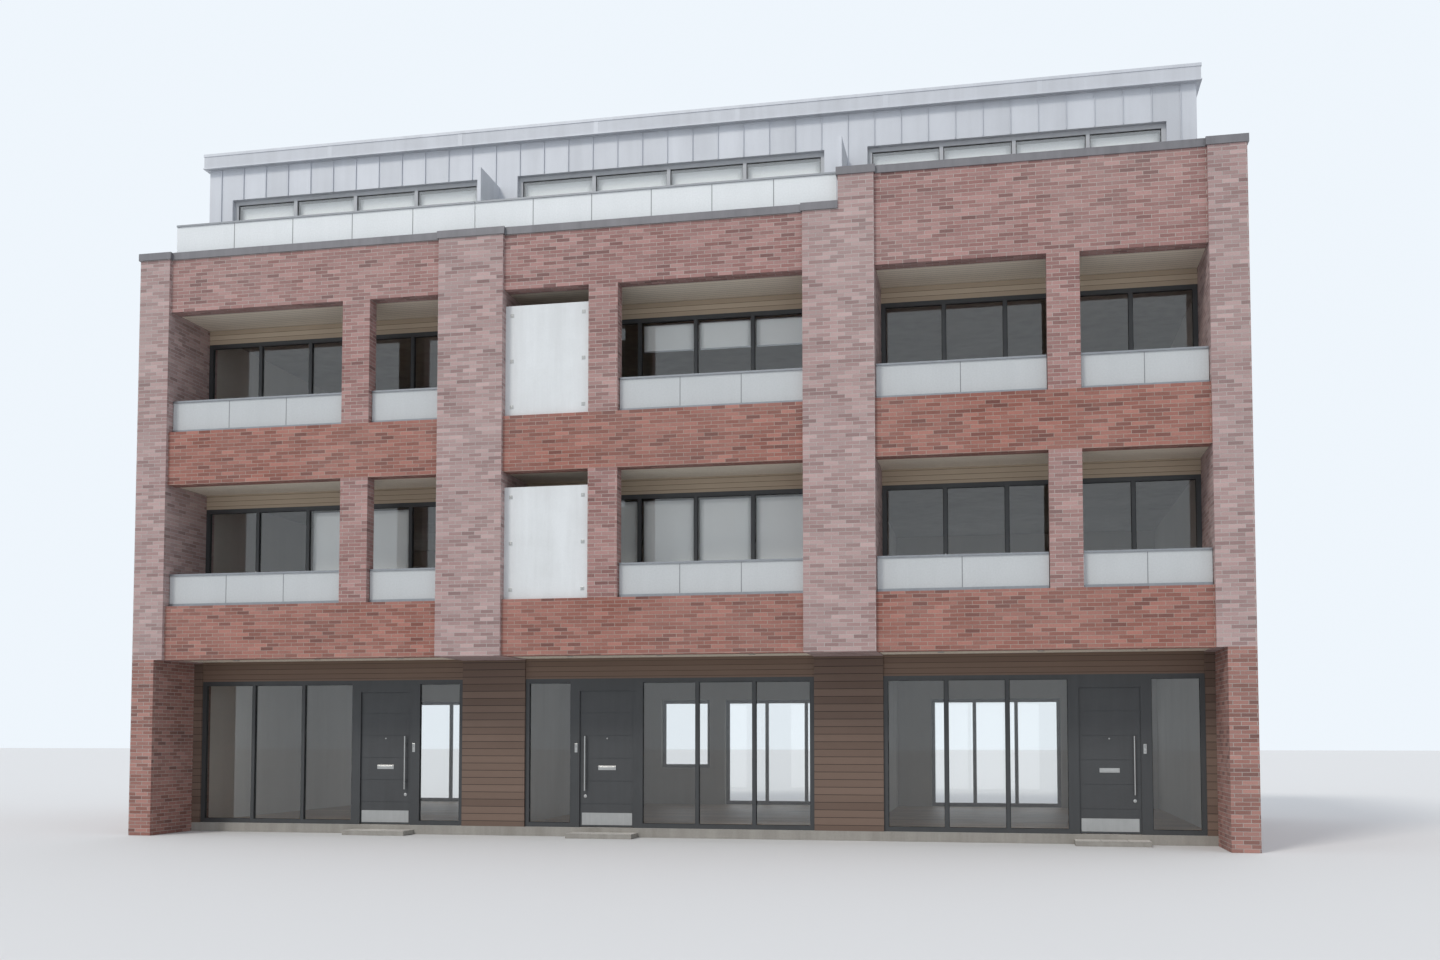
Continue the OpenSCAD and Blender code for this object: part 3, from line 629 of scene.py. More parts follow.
tree, shader = new_material("roof_membrane", srgb(134, 136, 138), 0.7)
where = object_place(tree)
sheets = place_group(board_joints, separated(where)[0], ROOF_SHEET, 0.006)
membrane = place_group(weathering, where, srgb(140, 142, 144), srgb(98, 98, 96), 0.6, 0.5, 30.0, 0.7)
edge_metal = place_group(weathering, where, srgb(200, 204, 211), srgb(164, 167, 172), 0.35, 1.0, 90.0, 0.45)
upward = above(facing_of(tree)[2], HALF_TURNED)
lap = times(sheets["Joint mask"], 0.35)
tone = minus(plus(times(sheets["Tone"], 0.08), 0.94), lap)
top_color = mix(1.0, membrane["Color"], tone, "MULTIPLY")
dress(shader, mix(upward, edge_metal["Color"], top_color),
      either(upward, membrane["Roughness"], edge_metal["Roughness"]),
      times(minus(membrane["Height"], lap), upward), 0.004)
print("roof sheets are", ROOF_SHEET, "m wide")

# %% [markdown]
# ## Glass
#
# Window glass is clear, with a faint tint and a coating that mirrors more than plain glass,
# so a window looks pale where it faces the sky and dark where it faces a soffit. The top
# storey's panes mirror more still. The balustrades are of milky laminated glass.

# %% Window glass
GLASS_TINT = (0.975, 0.985, 0.983)
CLEAR_TINT = (0.97, 0.98, 0.978)


def window_finish(name, mirror):
    """Clear glass with a slight ripple and dust. A higher index mirrors more of the sky."""
    tree, shader = new_material(name, GLASS_TINT, 0.02)
    fill(shader, {"Transmission Weight": 1.0, "IOR": mirror})
    where = object_place(tree)
    dust = times(noise(where, 3.0, 5, 0.6), 0.03)
    dress(shader, GLASS_TINT, dust, noise(where, 1.3, 2, 0.4), 0.002, 0.03)
    # Lamps and soft light pass straight through, as they do through a real flat pane.
    rays = add_node(tree, "LightPath", {}).outputs
    lamp_or_soft = math_node("MAXIMUM", rays["Is Shadow Ray"], rays["Is Diffuse Ray"])
    clear = add_node(tree, "BsdfTransparent", {"Color": CLEAR_TINT})
    lit = add_node(tree, "MixShader", {0: lamp_or_soft, 1: shader.outputs[0], 2: clear.outputs[0]})
    fill(tree.nodes["Material Output"], {"Surface": lit.outputs[0]})


window_finish("window_glass", 1.6)
window_finish("coated_glass", 2.3)
print("finishes so far:", len(materials))

# %% Milky glass
tree, shader = new_material("milky_glass", srgb(214, 218, 219), 0.3)
where = object_place(tree)
film = place_group(weathering, where, (0.98, 0.98, 0.98), (0.80, 0.81, 0.81), 0.25, 0.9, 40.0, 0.22)
# Painted light and shade: the same milky glass is painted paler on the terrace, as in full light, and
# darker in the loggias, as in shade.
painted_lit_terrace = above(separated(where)[2], terrace_z)
tone = mix(painted_lit_terrace, srgb(206, 210, 212), srgb(240, 244, 246))
fill(shader, {"Transmission Weight": 0.15, "IOR": 1.5, "Roughness": film["Roughness"],
              "Base Color": mix(1.0, film["Color"], tone, "MULTIPLY")})
print("finishes so far:", len(materials))

# %% Dress the frame
DOORS = ("left", "middle", "right")
finishes = {
    "red_brick": ["lower_band", "middle_band"],
    "parapet_brick": ["front_parapets", "loggia_pillars"],
    "lined_red_brick": ["left_end_wall", "right_end_wall", "rear_wall"],
    "pale_brick": ["left_end_pier", "party_piers", "right_end_pier"],
    "plaster": ["party_walls"],
    "storey_floor": ["ground_slab", "first_floor_slab", "second_floor_slab"],
    "terrace_floor": ["terrace_slab"],
    "soffit_board": ["soffit_boards"],
    "lintel_board": ["lintel_boards"],
    "wall_board": ["ground_wall_panels"],
    "coping_metal": ["parapet_copings"],
    "frame_metal": ["ground_front_frames", "door_frames", "first_floor_frames", "second_floor_frames",
                    "rear_frames"],
    "pale_frame": ["top_frames"],
    "window_glass": ["ground_front_glass", "first_floor_glass", "second_floor_glass", "rear_glass"],
    "coated_glass": ["top_glass"],
    "milky_glass": ["balustrade_glass"],
    "rail_metal": ["balustrade_shoes", "balustrade_rails", "window_sills"],
    "white_lacquer": ["privacy_panels"],
    "cladding": ["top_front_wall", "top_rear_wall", "top_side_walls", "terrace_dividers"],
    "roof_membrane": ["roof_slab"],
    "door_paint": [door + "_door" for door in DOORS],
    "brushed_steel": [door + "_door_handle" for door in DOORS],
}
for finish, names in finishes.items():
    for name in names:
        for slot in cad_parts[name].material_slots:
            slot.material = materials[finish]
print("dressed", sum(len(names) for names in finishes.values()), "of", len(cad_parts), "nodes")

# %% [markdown]
# ## Finding the panes
#
# Gaskets, blinds and window pulls all go by the panes of glass. A glass node holds many
# panes, so a merged copy of its mesh is walked from point to point along the edges, and each
# group of points that hangs together gives one pane's box.

# %% Panes
def islands(node):
    """The lowest and highest corner of each separate solid of a node."""
    copy = bmesh.new()
    copy.from_mesh(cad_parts[node].data)
    bmesh.ops.remove_doubles(copy, verts=copy.verts, dist=0.0001)
    left = set(copy.verts)
    boxes = []
    while left:
        reached = [left.pop()]
        for vert in reached:
            for edge in vert.link_edges:
                other = edge.other_vert(vert)
                if other in left:
                    left.discard(other)
                    reached.append(other)
        points = [vert.co for vert in reached]
        boxes.append((Vector([min(p[i] for p in points) for i in range(3)]),
                      Vector([max(p[i] for p in points) for i in range(3)])))
    copy.free()
    return sorted(boxes, key=lambda box: (round(box[0].y, 2), round(box[0].z, 2), box[0].x))


panes = {name: islands(name) for name in finishes["window_glass"] + finishes["coated_glass"]}
for name, found in panes.items():
    print(name, len(found), "panes")

# %% [markdown]
# ## Making a piece
#
# Most small parts are bars: bmesh's cube, stretched between two corners, with its edges
# bevelled, because even a sharp aluminium edge catches a thin line of light. Most round parts
# are rods or turned shapes, which are a profile of a few points, spun round an axis. Many
# share one mesh, so that a whole row is one piece.

# %% Helpers for pieces
QUARTER = math.pi / 2
# A piece reaches this far into what it is fixed to, so that no gap shows.
SUNK = 0.001
# A piece that must not stand out past an edge ends this far short of it.
CLEAR = 0.001


def bar(mesh, corner, opposite, soften, segments=1):
    """Adds a bar between two corners, with its edges bevelled."""
    a, b = Vector(corner), Vector(opposite)
    size = Vector([abs(q - p) for p, q in zip(a, b)])
    place = Matrix.Translation((a + b) / 2) @ Matrix.Diagonal((*size, 1))
    made = bmesh.ops.create_cube(mesh, size=1, matrix=place)
    edges = list({edge for vert in made["verts"] for edge in vert.link_edges})
    bmesh.ops.bevel(mesh, geom=edges, offset=soften, affect="EDGES", segments=segments,
                    profile=0.5, material=-1)


# The ways that an upright face can look: its axis, 0 for X or 1 for Y, and -1 or 1 along it
FRONT, REAR, LEFT, RIGHT = (1, -1), (1, 1), (0, -1), (0, 1)


def on_face(mesh, side, face, along, heights, depths, soften, segments=1):
    """A bar on an upright face, by its ends along it, its heights and its depths out of it."""
    axis, out = side
    corners = []
    for end, height, depth in zip(along, heights, depths):
        corner = [end, end, height]
        corner[axis] = face + out * depth
        corners.append(corner)
    bar(mesh, *corners, soften, segments)


def rod(mesh, x0, x1, y, z, radius):
    """A round rod along X with closed ends."""
    place = Matrix.Translation(((x0 + x1) / 2, y, z)) @ Matrix.Rotation(QUARTER, 4, "Y")
    bmesh.ops.create_cone(mesh, cap_ends=True, segments=20, radius1=radius, radius2=radius,
                          depth=x1 - x0, matrix=place)


def turned(mesh, profile, centre, out, steps=28):
    """Spins a profile of (radius, distance out) round an axis through the centre."""
    verts = [mesh.verts.new(Vector(centre) + Vector((radius, 0, 0)) + distance * out)
             for radius, distance in profile]
    edges = [mesh.edges.new(pair) for pair in zip(verts, verts[1:])]
    bmesh.ops.spin(mesh, geom=verts + edges, cent=centre, axis=-out, dvec=(0, 0, 0),
                   angle=math.tau, steps=steps, use_merge=True, use_duplicate=False)


def finish_piece(name, mesh, finish, body="building", smooth=False):
    """Turns a bmesh into a finished piece that rides on a body."""
    bmesh.ops.remove_doubles(mesh, verts=mesh.verts, dist=0.00001)
    bmesh.ops.recalc_face_normals(mesh, faces=mesh.faces)
    data = bpy.data.meshes.new(name)
    mesh.to_mesh(data)
    mesh.free()
    piece = add_object(name, data)
    data.materials.append(materials[finish])
    if smooth:
        data.shade_smooth()
    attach(piece, body)
    print("piece:", name, len(data.polygons), "faces")
    return piece


FORWARD, DOWN = Vector((0, -1, 0)), Vector((0, 0, -1))
print("piece helpers ready")

# %% [markdown]
# ## Gaskets
#
# A black rubber gasket, 8 mm wide, holds each pane on both sides. A flat ring is one face,
# inset and with its middle deleted, and extruding it gives its thickness. The glass sits
# 12 mm deep in the frame, so the ring starts that far in.

# %% Gaskets
GLASS_SEAT = 0.012
GASKET_WIDTH = 0.008
GASKET_PROUD = 0.004


def ring(mesh, a, b, y_near, y_far):
    """A rectangular ring in an upright plane, from y_near to y_far."""
    middle = Vector(((a.x + b.x) / 2, y_near, (a.z + b.z) / 2))
    place = (Matrix.Translation(middle) @ Matrix.Rotation(QUARTER, 4, "X")
             @ Matrix.Diagonal((b.x - a.x, b.z - a.z, 1, 1)))
    made = bmesh.ops.create_grid(mesh, x_segments=1, y_segments=1, size=0.5, matrix=place)
    face = made["verts"][0].link_faces[0]
    inset = bmesh.ops.inset_region(mesh, faces=[face], thickness=GASKET_WIDTH, use_even_offset=True,
                                   use_boundary=True)
    bmesh.ops.delete(mesh, geom=[face], context="FACES")
    thick = bmesh.ops.extrude_face_region(mesh, geom=inset["faces"])
    moved = [item for item in thick["geom"] if isinstance(item, bmesh.types.BMVert)]
    bmesh.ops.translate(mesh, verts=moved, vec=(0, y_far - y_near, 0))


def gasket_piece(name, *nodes):
    mesh = bmesh.new()
    seat = Vector((GLASS_SEAT, 0, GLASS_SEAT))
    for a, b in [box for node in nodes for box in panes[node]]:
        ring(mesh, a + seat, b - seat, a.y - GASKET_PROUD, a.y)
        ring(mesh, a + seat, b - seat, b.y, b.y + GASKET_PROUD)
    finish_piece(name, mesh, "rubber")


gasket_piece("front_gaskets", "ground_front_glass", "first_floor_glass", "second_floor_glass")
gasket_piece("rear_and_top_gaskets", "rear_glass", "top_glass")

# %% [markdown]
# ## Standing seams
#
# The top storey's sheets meet in upright folded seams, 22 mm high. They are ribs that stand
# where the material draws its joints, split on the front and rear where they cross a window.

# %% Windows in the cladding
# An opening reaches past its panes by the frame's width, and panes of one window are close.
REVEAL = 0.065
WALL_DEPTH = 0.4
WINDOW_GAP = 0.1
clad_low, clad_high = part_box("top_front_wall")
rear_low, rear_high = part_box("top_rear_wall")
side_low, side_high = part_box("top_side_walls")


def holes_near(face_y):
    """The top storey's window openings near a wall's face, each as x0, x1, z0, z1."""
    near = sorted((a.x, b.x, a.z, b.z) for a, b in panes["top_glass"] if abs(a.y - face_y) < WALL_DEPTH)
    joined = []
    for x0, x1, z0, z1 in near:
        if joined and x0 - joined[-1][1] < WINDOW_GAP:
            joined[-1][1] = x1
        else:
            joined.append([x0, x1, z0, z1])
    return [(x0 - REVEAL, x1 + REVEAL, z0 - REVEAL, z1 + REVEAL) for x0, x1, z0, z1 in joined]


front_holes, rear_holes = holes_near(clad_low.y), holes_near(rear_high.y)
print("openings in the cladding:", len(front_holes), "front,", len(rear_holes), "rear")

# %% Seams
SEAM_H = 0.022
SEAM_W = 0.010
SEAM_SUNK = 0.002
SEAM_SOFT = 0.002
CORNER_SHEET = 0.05
SHORTEST_SEAM = 0.04


def seam_lines(start, end):
    """The seams' places between two ends: whole multiples of the sheet width."""
    first = math.ceil((start + CORNER_SHEET) / SEAM_PITCH)
    last = math.floor((end - CORNER_SHEET) / SEAM_PITCH)
    return [n * SEAM_PITCH for n in range(first, last + 1)]


def upright_pieces(x, holes, bottom, top):
    """Cuts an upright line at x where it crosses an opening."""
    parts = [(bottom, top)]
    for x0, x1, z0, z1 in holes:
        if x0 - SEAM_W < x < x1 + SEAM_W:
            parts = [part for p, q in parts for part in ((p, min(q, z0)), (max(p, z1), q))]
    return [(p, q) for p, q in parts if q - p > SHORTEST_SEAM]


seams = bmesh.new()
across, along = seam_lines(clad_low.x, clad_high.x), seam_lines(clad_low.y, rear_high.y)
for side, face, lines, holes, foot, head in (
        (FRONT, clad_low.y, across, front_holes, clad_low.z, clad_high.z),
        (REAR, rear_high.y, across, rear_holes, rear_low.z, rear_high.z),
        (LEFT, side_low.x, along, [], side_low.z, side_high.z),
        (RIGHT, side_high.x, along, [], side_low.z, side_high.z)):
    for middle in lines:
        for heights in upright_pieces(middle, holes, foot + CLEAR, head - CLEAR):
            on_face(seams, side, face, (middle - SEAM_W / 2, middle + SEAM_W / 2), heights,
                    (-SEAM_SUNK, SEAM_H), SEAM_SOFT)
finish_piece("cladding_seams", seams, "cladding")

# %% [markdown]
# ## Blinds
#
# The pale windows of the photo are blinds of off-white cloth, let down behind the glass. A
# roller blind hangs flat from its tube, held down by a bar in its hem, with only a slight
# curl along its sides. The cloth is a grid with its points moved a little, and a Solidify
# modifier makes it 0.6 mm thick. A Brick texture draws its threads too.

# %% Cloth
THREAD_SIZES = (0.004, 0.002, 0.0006)
# Threads stand up or lie low, with gaps between them. Only the relief uses these greys.
THREAD_GREYS = ((0.8, 0.8, 0.8), (0.2, 0.2, 0.2), BLACK)
CLOTH_SHADE = srgb(232, 234, 233)

tree, shader = new_material("blind_cloth", CLOTH_SHADE, 0.85)
fill(shader, {"Sheen Weight": 0.15})
where = object_place(tree)
upright = add_node(tree, "Mapping", {"Rotation": (QUARTER, 0, 0), "Vector": where}).outputs[0]
thread = brick_texture(upright, THREAD_SIZES, THREAD_GREYS, smooth=0.5)
tone = mix(noise(where, 1.2, 3, 0.5), srgb(244, 246, 246), CLOTH_SHADE)
dress(shader, mix(thread["Fac"], tone, srgb(222, 223, 221)), 0.85, thread["Color"], 0.0003, 0.4)
print("cloth made, finishes so far:", len(materials))

# %% Blind helper
TUBE_R = 0.019
TUBE_PAST = 0.006
HEM_FRONT, HEM_BACK, HEM_H = 0.005, 0.007, 0.022
CLOTH_LAP = 0.002
CLOTH_FROM_GLASS = 0.066
SIDE_MARGIN = 0.03
END_MARGIN = 0.045
CLOTH_T = 0.0006
CURL = 0.004
RIPPLE = 0.0015
blind_fittings = bmesh.new()


def blind(name, pane, drop):
    """A roller blind behind one pane, let down over a share of its height."""
    a, b = pane
    x0, x1 = a.x + SIDE_MARGIN, b.x - SIDE_MARGIN
    y = b.y + CLOTH_FROM_GLASS
    top = b.z - END_MARGIN
    bottom = top - (top - a.z - END_MARGIN) * drop
    cloth = bmesh.new()
    place = (Matrix.Translation(((x0 + x1) / 2, y, (top + bottom) / 2)) @ Matrix.Rotation(QUARTER, 4, "X")
             @ Matrix.Diagonal((x1 - x0, top - bottom, 1, 1)))
    bmesh.ops.create_grid(cloth, x_segments=10, y_segments=24, size=0.5, matrix=place)
    for vert in cloth.verts:
        across = (vert.co.x - x0) / (x1 - x0) * 2 - 1
        down = (top - vert.co.z) / (top - bottom)
        vert.co.y += CURL * across ** 4 * down + RIPPLE * math.sin(9 * down + 5 * x0)
    piece = finish_piece(name, cloth, "blind_cloth", smooth=True)
    piece.modifiers.new("thickness", "SOLIDIFY").thickness = CLOTH_T
    rod(blind_fittings, x0 - TUBE_PAST, x1 + TUBE_PAST, y + TUBE_R, top + CLOTH_LAP, TUBE_R)
    bar(blind_fittings, (x0, y - HEM_FRONT, bottom - HEM_H),
        (x1, y + HEM_BACK, bottom + CLOTH_LAP), 0.002, 2)


# %% Hang the blinds
FRONT_MARGIN = 0.05
third = (high.x - low.x) / 3


def front_panes(node, house):
    """The front panes of one house, from left to right. The row's houses are 0, 1 and 2."""
    start = low.x + house * third
    front = min(a.y for a, b in panes[node])
    return [(a, b) for a, b in panes[node]
            if start < (a.x + b.x) / 2 < start + third and a.y < front + FRONT_MARGIN]


# How far each pane's blind is let down, from left to right
DROPS = {("top_glass", 0): (1.0, 1.0, 0.96, 1.0), ("top_glass", 1): (1.0, 1.0, 1.0, 1.0),
         ("top_glass", 2): (1.0, 1.0, 1.0, 1.0), ("first_floor_glass", 1): (0.0, 1.0, 1.0, 1.0, 1.0),
         ("second_floor_glass", 1): (0.0, 0.0, 0.2, 0.2, 0.2),
         ("first_floor_glass", 0): (0.0, 0.0, 1.0, 1.0, 0.0)}
for (node, house), shares in DROPS.items():
    for number, (pane, share) in enumerate(zip(front_panes(node, house), shares)):
        if share > 0:
            blind("blind_%s_%d_%d" % (node.split("_")[0], house, number), pane, share)
finish_piece("blind_fittings", blind_fittings, "rail_metal")

# %% [markdown]
# ## Coping straps
#
# The metal copings come in lengths. A strap 100 mm wide covers each joint, folded over the
# coping like a saddle: a thin bar on the top and a lip down each side that shows.

# %% Straps
COPING_T = 0.04
COPING_EDGE = 0.12
HALF_STRAP = 0.05
STRAP_T = 0.0015
STRAP_SUNK = 0.002
STRAP_SOFT = 0.0006
STRAP_SHARES = (0.02, 0.34, 0.66, 0.98)
END_STRAPS_Y = (-2.4, 0.0, 2.4)
REAR_STRAPS_X = (-6.6, -4.2, -1.8, 0.6, 4.2, 6.6)
RAISED_LAP = 0.55
straps = bmesh.new()
coping_low, coping_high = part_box("parapet_copings")
parapets = islands("front_parapets")
low_top = parapets[0][1].z + COPING_T


def strap(x0, y0, x1, y1, top, *lips):
    """A strap over a coping with its lips, each given by its side and face."""
    bar(straps, (x0, y0, top - STRAP_SUNK), (x1, y1, top + STRAP_T), STRAP_SOFT)
    for side, face in lips:
        along = (y0, y1) if side in (LEFT, RIGHT) else (x0, x1)
        on_face(straps, side, face, along, (top - COPING_EDGE, top), (-SUNK, STRAP_T), STRAP_SOFT)


for a, b in parapets:
    y0, y1 = a.y - COPING_OUT, b.y + COPING_OUT
    for share in STRAP_SHARES:
        x = a.x + (b.x - a.x) * share
        strap(x - HALF_STRAP, y0 - STRAP_T, x + HALF_STRAP, y1 + STRAP_T, b.z + COPING_T,
              (FRONT, y0), (REAR, y1))
left_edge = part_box("left_end_wall")[1].x + COPING_OUT
right_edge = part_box("right_end_wall")[0].x - COPING_OUT
for y in END_STRAPS_Y:
    y0, y1 = y - HALF_STRAP, y + HALF_STRAP
    strap(coping_low.x + CLEAR, y0, left_edge - CLEAR, y1, low_top, (RIGHT, left_edge))
    strap(right_edge + CLEAR, y0, coping_high.x - CLEAR, y1, coping_high.z, (LEFT, right_edge))
step_x = parapets[2][0].x - RAISED_LAP
for x in REAR_STRAPS_X:
    strap(x - HALF_STRAP, rear_inner_y - COPING_OUT, x + HALF_STRAP, coping_high.y - CLEAR,
          low_top if x < step_x else coping_high.z)
finish_piece("coping_straps", straps, "coping_metal")

# %% [markdown]
# ## Roof edge
#
# The roof's fascia is a folded metal sheet with a raised bead along its top, a turned-out
# drip along its foot, and a cover plate at each joint. None stands higher than the roof.

# %% Roof edge
BEAD_H = 0.05
BEAD_PROUD = 0.010
DRIP_H = 0.022
DRIP_PROUD = 0.014
PLATE_HALF = 0.04
PLATE_PROUD = 0.0025
PLATE_LAP = 0.002
FRONT_LENGTHS, SIDE_LENGTHS = 7, 3
roof_low, roof_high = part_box("roof_slab")
bead = (roof_high.z - BEAD_H, roof_high.z - CLEAR / 2)
drip = (roof_low.z + CLEAR, roof_low.z + DRIP_H)
between_them = (drip[1] - PLATE_LAP, bead[0] + PLATE_LAP)
roof_edge = bmesh.new()


def shares_between(start, end, parts):
    """The places that cut a length into equal parts."""
    return [start + (end - start) * n / parts for n in range(1, parts)]


for side, face in ((FRONT, roof_low.y), (REAR, roof_high.y), (LEFT, roof_low.x), (RIGHT, roof_high.x)):
    lengthwise = side in (FRONT, REAR)
    start, end = (roof_low.x, roof_high.x) if lengthwise else (roof_low.y, roof_high.y)
    for heights, proud in ((bead, BEAD_PROUD), (drip, DRIP_PROUD)):
        past = proud if lengthwise else SUNK
        on_face(roof_edge, side, face, (start - past, end + past), heights, (-SUNK, proud), 0.002, 2)
    for middle in shares_between(start, end, FRONT_LENGTHS if lengthwise else SIDE_LENGTHS):
        on_face(roof_edge, side, face, (middle - PLATE_HALF, middle + PLATE_HALF), between_them,
                (-SUNK, PLATE_PROUD), 0.0008)
finish_piece("roof_edge", roof_edge, "edge_grey")

# %% [markdown]
# ## Glass joints and panel clips
#
# The long balustrades are several sheets of glass, with grey sealant in the 12 mm joints.
# Steel clips with a domed screw hold the white privacy panels at three heights.

# %% Glass joints
SHEET_WIDTH = 1.05
HALF_JOINT = 0.006
JOINT_PROUD = 0.0015
JOINT_ENDS = 0.02
joints = bmesh.new()
for a, b in islands("balustrade_glass"):
    for x in shares_between(a.x, b.x, max(1, round((b.x - a.x) / SHEET_WIDTH))):
        bar(joints, (x - HALF_JOINT, a.y - JOINT_PROUD, a.z + JOINT_ENDS),
            (x + HALF_JOINT, b.y + JOINT_PROUD, b.z - JOINT_ENDS), 0.0005)
finish_piece("balustrade_joints", joints, "sealant")

# %% Panel clips
CLIP_IN = 0.11
CLIP_UP = 0.16
HALF_CLIP = 0.03
CLIP_T = 0.004
SCREW_R = 0.011
clips = bmesh.new()
for a, b in islands("privacy_panels"):
    for x in (a.x + CLIP_IN, b.x - CLIP_IN):
        for z in (a.z + CLIP_UP, (a.z + b.z) / 2, b.z - CLIP_UP):
            on_face(clips, FRONT, a.y, (x - HALF_CLIP, x + HALF_CLIP), (z - HALF_CLIP, z + HALF_CLIP),
                    (-SUNK, CLIP_T), 0.0015, 2)
            head = Matrix.Translation((x, a.y - CLIP_T, z)) @ Matrix.Rotation(QUARTER, 4, "X")
            bmesh.ops.create_uvsphere(clips, u_segments=14, v_segments=8, radius=SCREW_R,
                                      matrix=head @ Matrix.Diagonal((1, 1, 0.45, 1)))
finish_piece("panel_clips", clips, "brushed_steel")

# %% [markdown]
# ## Door fittings
#
# Each front door has a kick plate, a letter plate with its flap, a lock rose and a viewer.
# They ride with the leaf, so they swing with it. The profiles give the turned shapes' radius
# and distance out of the door.

# %% Fit the doors
ROSE = [(0.0005, 0.009), (0.020, 0.009), (0.026, 0.007), (0.027, 0.004), (0.027, -0.001)]
CYLINDER = [(0.0005, 0.014), (0.0075, 0.014), (0.0085, 0.013), (0.0085, 0.008)]
VIEWER = [(0.0005, 0.0045), (0.006, 0.004), (0.0085, 0.007), (0.012, 0.006), (0.013, -0.001)]
KICK_MARGIN = 0.05
ROSE_HEIGHT = 0.50
VIEWER_HEIGHT = 1.45

for side in DOORS:
    leaf_low, leaf_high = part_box(side + "_door")
    pull_low, pull_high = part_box(side + "_door_handle")
    pull_x = (pull_low.x + pull_high.x) / 2
    middle_x = (leaf_low.x + leaf_high.x) / 2
    fittings = bmesh.new()
    # Kick plate, letter plate and flap: half width, two heights, depths, softening and its steps
    for half, bottom, top, depths, soften, segments in (
            ((leaf_high.x - leaf_low.x) / 2 - KICK_MARGIN, 0.03, 0.23, (-SUNK, 0.002), 0.0008, 1),
            (0.15, 0.93, 1.00, (-SUNK, 0.006), 0.003, 2), (0.125, 0.948, 0.984, (0.004, 0.009), 0.002, 2)):
        on_face(fittings, FRONT, leaf_low.y, (middle_x - half, middle_x + half),
                (leaf_low.z + bottom, leaf_low.z + top), depths, soften, segments)
    rose_at = (pull_x, leaf_low.y, leaf_low.z + ROSE_HEIGHT)
    turned(fittings, ROSE, rose_at, FORWARD)
    turned(fittings, CYLINDER, rose_at, FORWARD, 20)
    turned(fittings, VIEWER, (middle_x, leaf_low.y, leaf_low.z + VIEWER_HEIGHT), FORWARD, 24)
    finish_piece(side + "_door_fittings", fittings, "brushed_steel",
                 body=side + "_door_leaf")

# %% [markdown]
# ## Pull handles of the big windows
#
# The loggia and garden windows slide. Each has a slim upright pull on the stile beside its
# first pane: a softened bar on two short feet.

# %% Window pulls
WIDEST_STILE = 0.08
TALL_PANE = 1.6
PULL_HEIGHT = 0.95
PULL_LENGTH = 0.24
PULL_HALF = 0.011
PULL_NEAR, PULL_FAR = 0.034, 0.046
FOOT_HALF = 0.008
FOOT_LENGTH = 0.02
pulls = bmesh.new()


def window_pulls(node, frame_node, side, panes_each):
    """A pull on the stile after the first pane of each window."""
    found = panes[node]
    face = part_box(frame_node)[0 if side == FRONT else 1].y
    count = 0
    for (a, b), (c, _) in zip(found, found[1:]):
        in_line = abs(a.z - c.z) < JUST and abs(a.y - c.y) < JUST
        if not in_line or not 0 <= c.x - b.x <= WIDEST_STILE or b.z - a.z < TALL_PANE:
            continue
        count += 1
        if count % panes_each != 1:
            continue
        x = (b.x + c.x) / 2
        z = a.z + PULL_HEIGHT
        on_face(pulls, side, face, (x - PULL_HALF, x + PULL_HALF), (z, z + PULL_LENGTH),
                (PULL_NEAR, PULL_FAR), 0.003, 2)
        for foot in (z + FOOT_LENGTH, z + PULL_LENGTH - 2 * FOOT_LENGTH):
            on_face(pulls, side, face, (x - FOOT_HALF, x + FOOT_HALF), (foot, foot + FOOT_LENGTH),
                    (-SUNK, PULL_NEAR + SUNK), 0.0015)
    return count


print("stiles:", window_pulls("first_floor_glass", "first_floor_frames", FRONT, 4),
      window_pulls("second_floor_glass", "second_floor_frames", FRONT, 4),
      window_pulls("rear_glass", "rear_frames", REAR, 2))
finish_piece("window_pulls", pulls, "brushed_steel")

# %% [markdown]
# ## Entrance lights and bells
#
# Three small lights are let into the boarded overhang in front of each house: a turned ring
# and a shallow lens of opal plastic. The bell beside each door is a steel plate with a
# button and the slots of a speaker.

# %% Entrance lights
LIGHT_RIM = [(0.042, 0.002), (0.044, 0.006), (0.050, 0.007), (0.054, 0.004), (0.055, -0.001)]
LIGHT_LENS = [(0.0005, 0.0045), (0.030, 0.004), (0.043, 0.002), (0.044, -0.001)]
LIGHT_SPACING = 1.5
GRID_DEPTH = 0.31
soffit_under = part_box("soffit_boards")[0].z
house_pitch = (high.x - low.x - 2 * COPING_OUT) / 3
light_y = (front_y + GRID_DEPTH + wall_line_y) / 2
rims, lenses = bmesh.new(), bmesh.new()
for house in (-1, 0, 1):
    for step in (-1, 0, 1):
        at = (house * house_pitch + step * LIGHT_SPACING, light_y, soffit_under)
        turned(rims, LIGHT_RIM, at, DOWN)
        turned(lenses, LIGHT_LENS, at, DOWN)
finish_piece("entrance_light_rims", rims, "brushed_steel", smooth=True)
finish_piece("entrance_light_lenses", lenses, "lens_plastic", smooth=True)

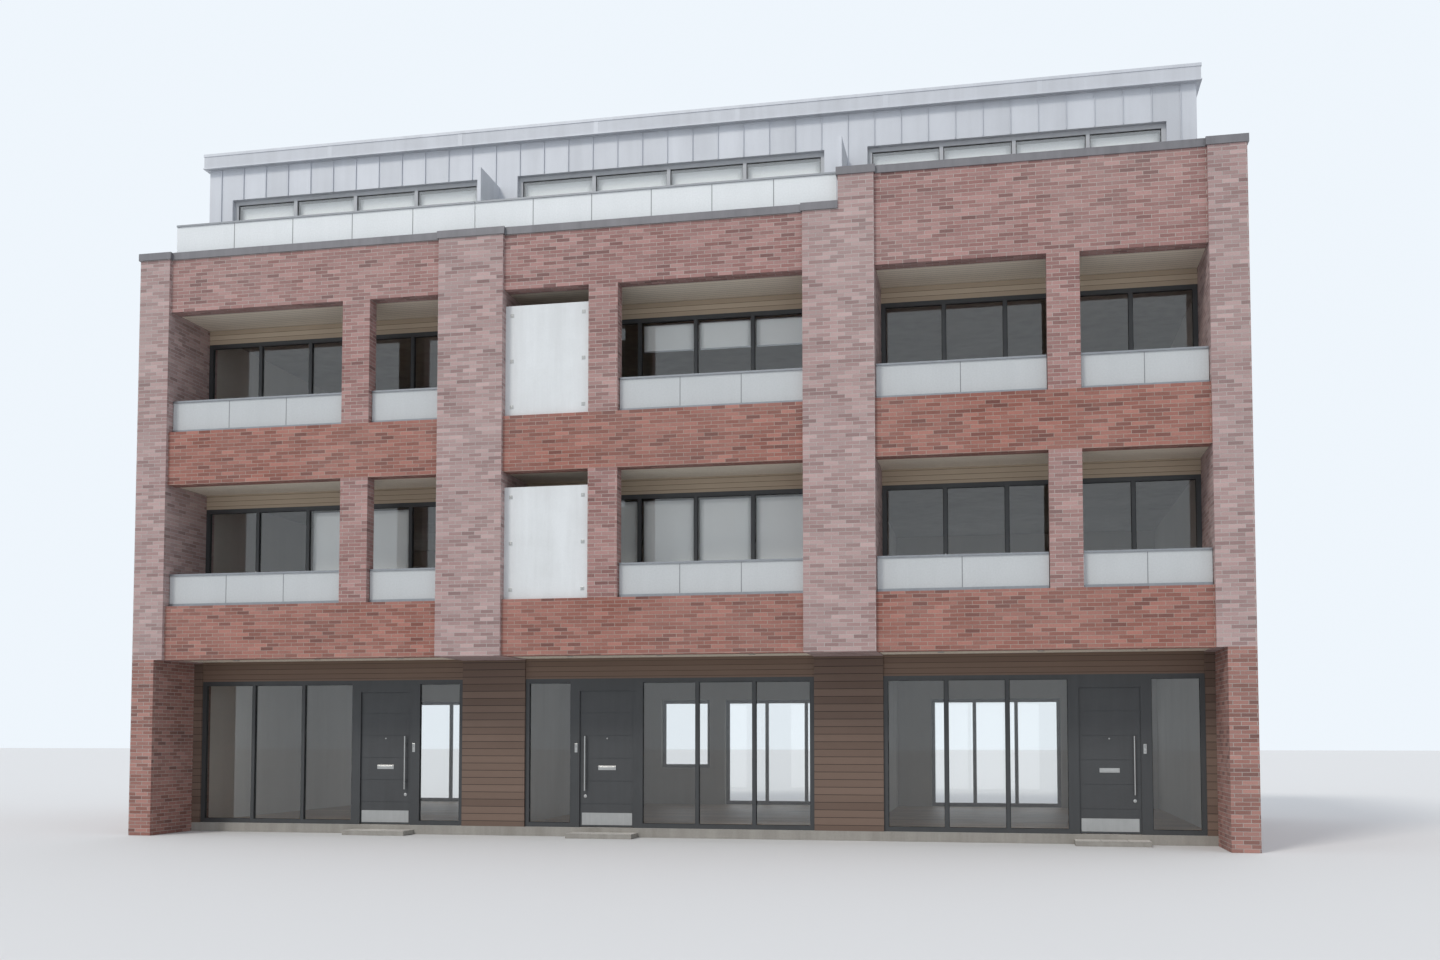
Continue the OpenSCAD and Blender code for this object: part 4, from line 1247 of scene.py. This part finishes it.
# %% Bells
BUTTON = [(0.0005, 0.013), (0.008, 0.012), (0.010, 0.009), (0.012, 0.0075)]
BESIDE_LEAF = 0.045
BELL_HALF = 0.024
BELL_HEIGHT = 1.22
BELL_LENGTH = 0.15
BELL_T = 0.008
BUTTON_UP = 0.04
SLOT_COUNT = 5
SLOTS_UP = 0.085
SLOT_PITCH = 0.010
SLOT_MARGIN = 0.010
SLOT_H = 0.003
SLOT_SHOWS = 0.0005
bells, slots = bmesh.new(), bmesh.new()
frame_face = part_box("door_frames")[0].y
for side in DOORS:
    leaf_low, leaf_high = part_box(side + "_door")
    pull_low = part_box(side + "_door_handle")[0]
    pull_on_right = pull_low.x > (leaf_low.x + leaf_high.x) / 2
    beside = leaf_high.x + BESIDE_LEAF if pull_on_right else leaf_low.x - BESIDE_LEAF
    x0, x1 = beside - BELL_HALF, beside + BELL_HALF
    z0 = leaf_low.z + BELL_HEIGHT
    on_face(bells, FRONT, frame_face, (x0, x1), (z0, z0 + BELL_LENGTH), (-SUNK, BELL_T), 0.003, 2)
    turned(bells, BUTTON, (beside, frame_face, z0 + BUTTON_UP), FORWARD, 20)
    for n in range(SLOT_COUNT):
        z = z0 + SLOTS_UP + n * SLOT_PITCH
        on_face(slots, FRONT, frame_face, (x0 + SLOT_MARGIN, x1 - SLOT_MARGIN), (z, z + SLOT_H),
                (BELL_T - SUNK, BELL_T + SLOT_SHOWS), 0.0003)
finish_piece("door_bells", bells, "brushed_steel")
finish_piece("door_bell_slots", slots, "rubber")

# %% [markdown]
# ## Studio floor
#
# A wide sheet in a pale grey, just under the row, takes its shadow and throws soft light up
# at the soffits. It isn't part of the object.

# %% Floor
FLOOR_HALF = 150
UNDER_THE_ROW = 0.002
floor_mesh = bmesh.new()
bmesh.ops.create_grid(floor_mesh, x_segments=8, y_segments=8, size=FLOOR_HALF)
floor_data = bpy.data.meshes.new("studio_floor")
floor_mesh.to_mesh(floor_data)
floor_mesh.free()
floor = add_object("studio_floor", floor_data)
floor.location.z = low.z - UNDER_THE_ROW
new_material("studio_floor", srgb(220, 221, 222), 0.9)
floor_data.materials.append(materials["studio_floor"])
print("floor laid")
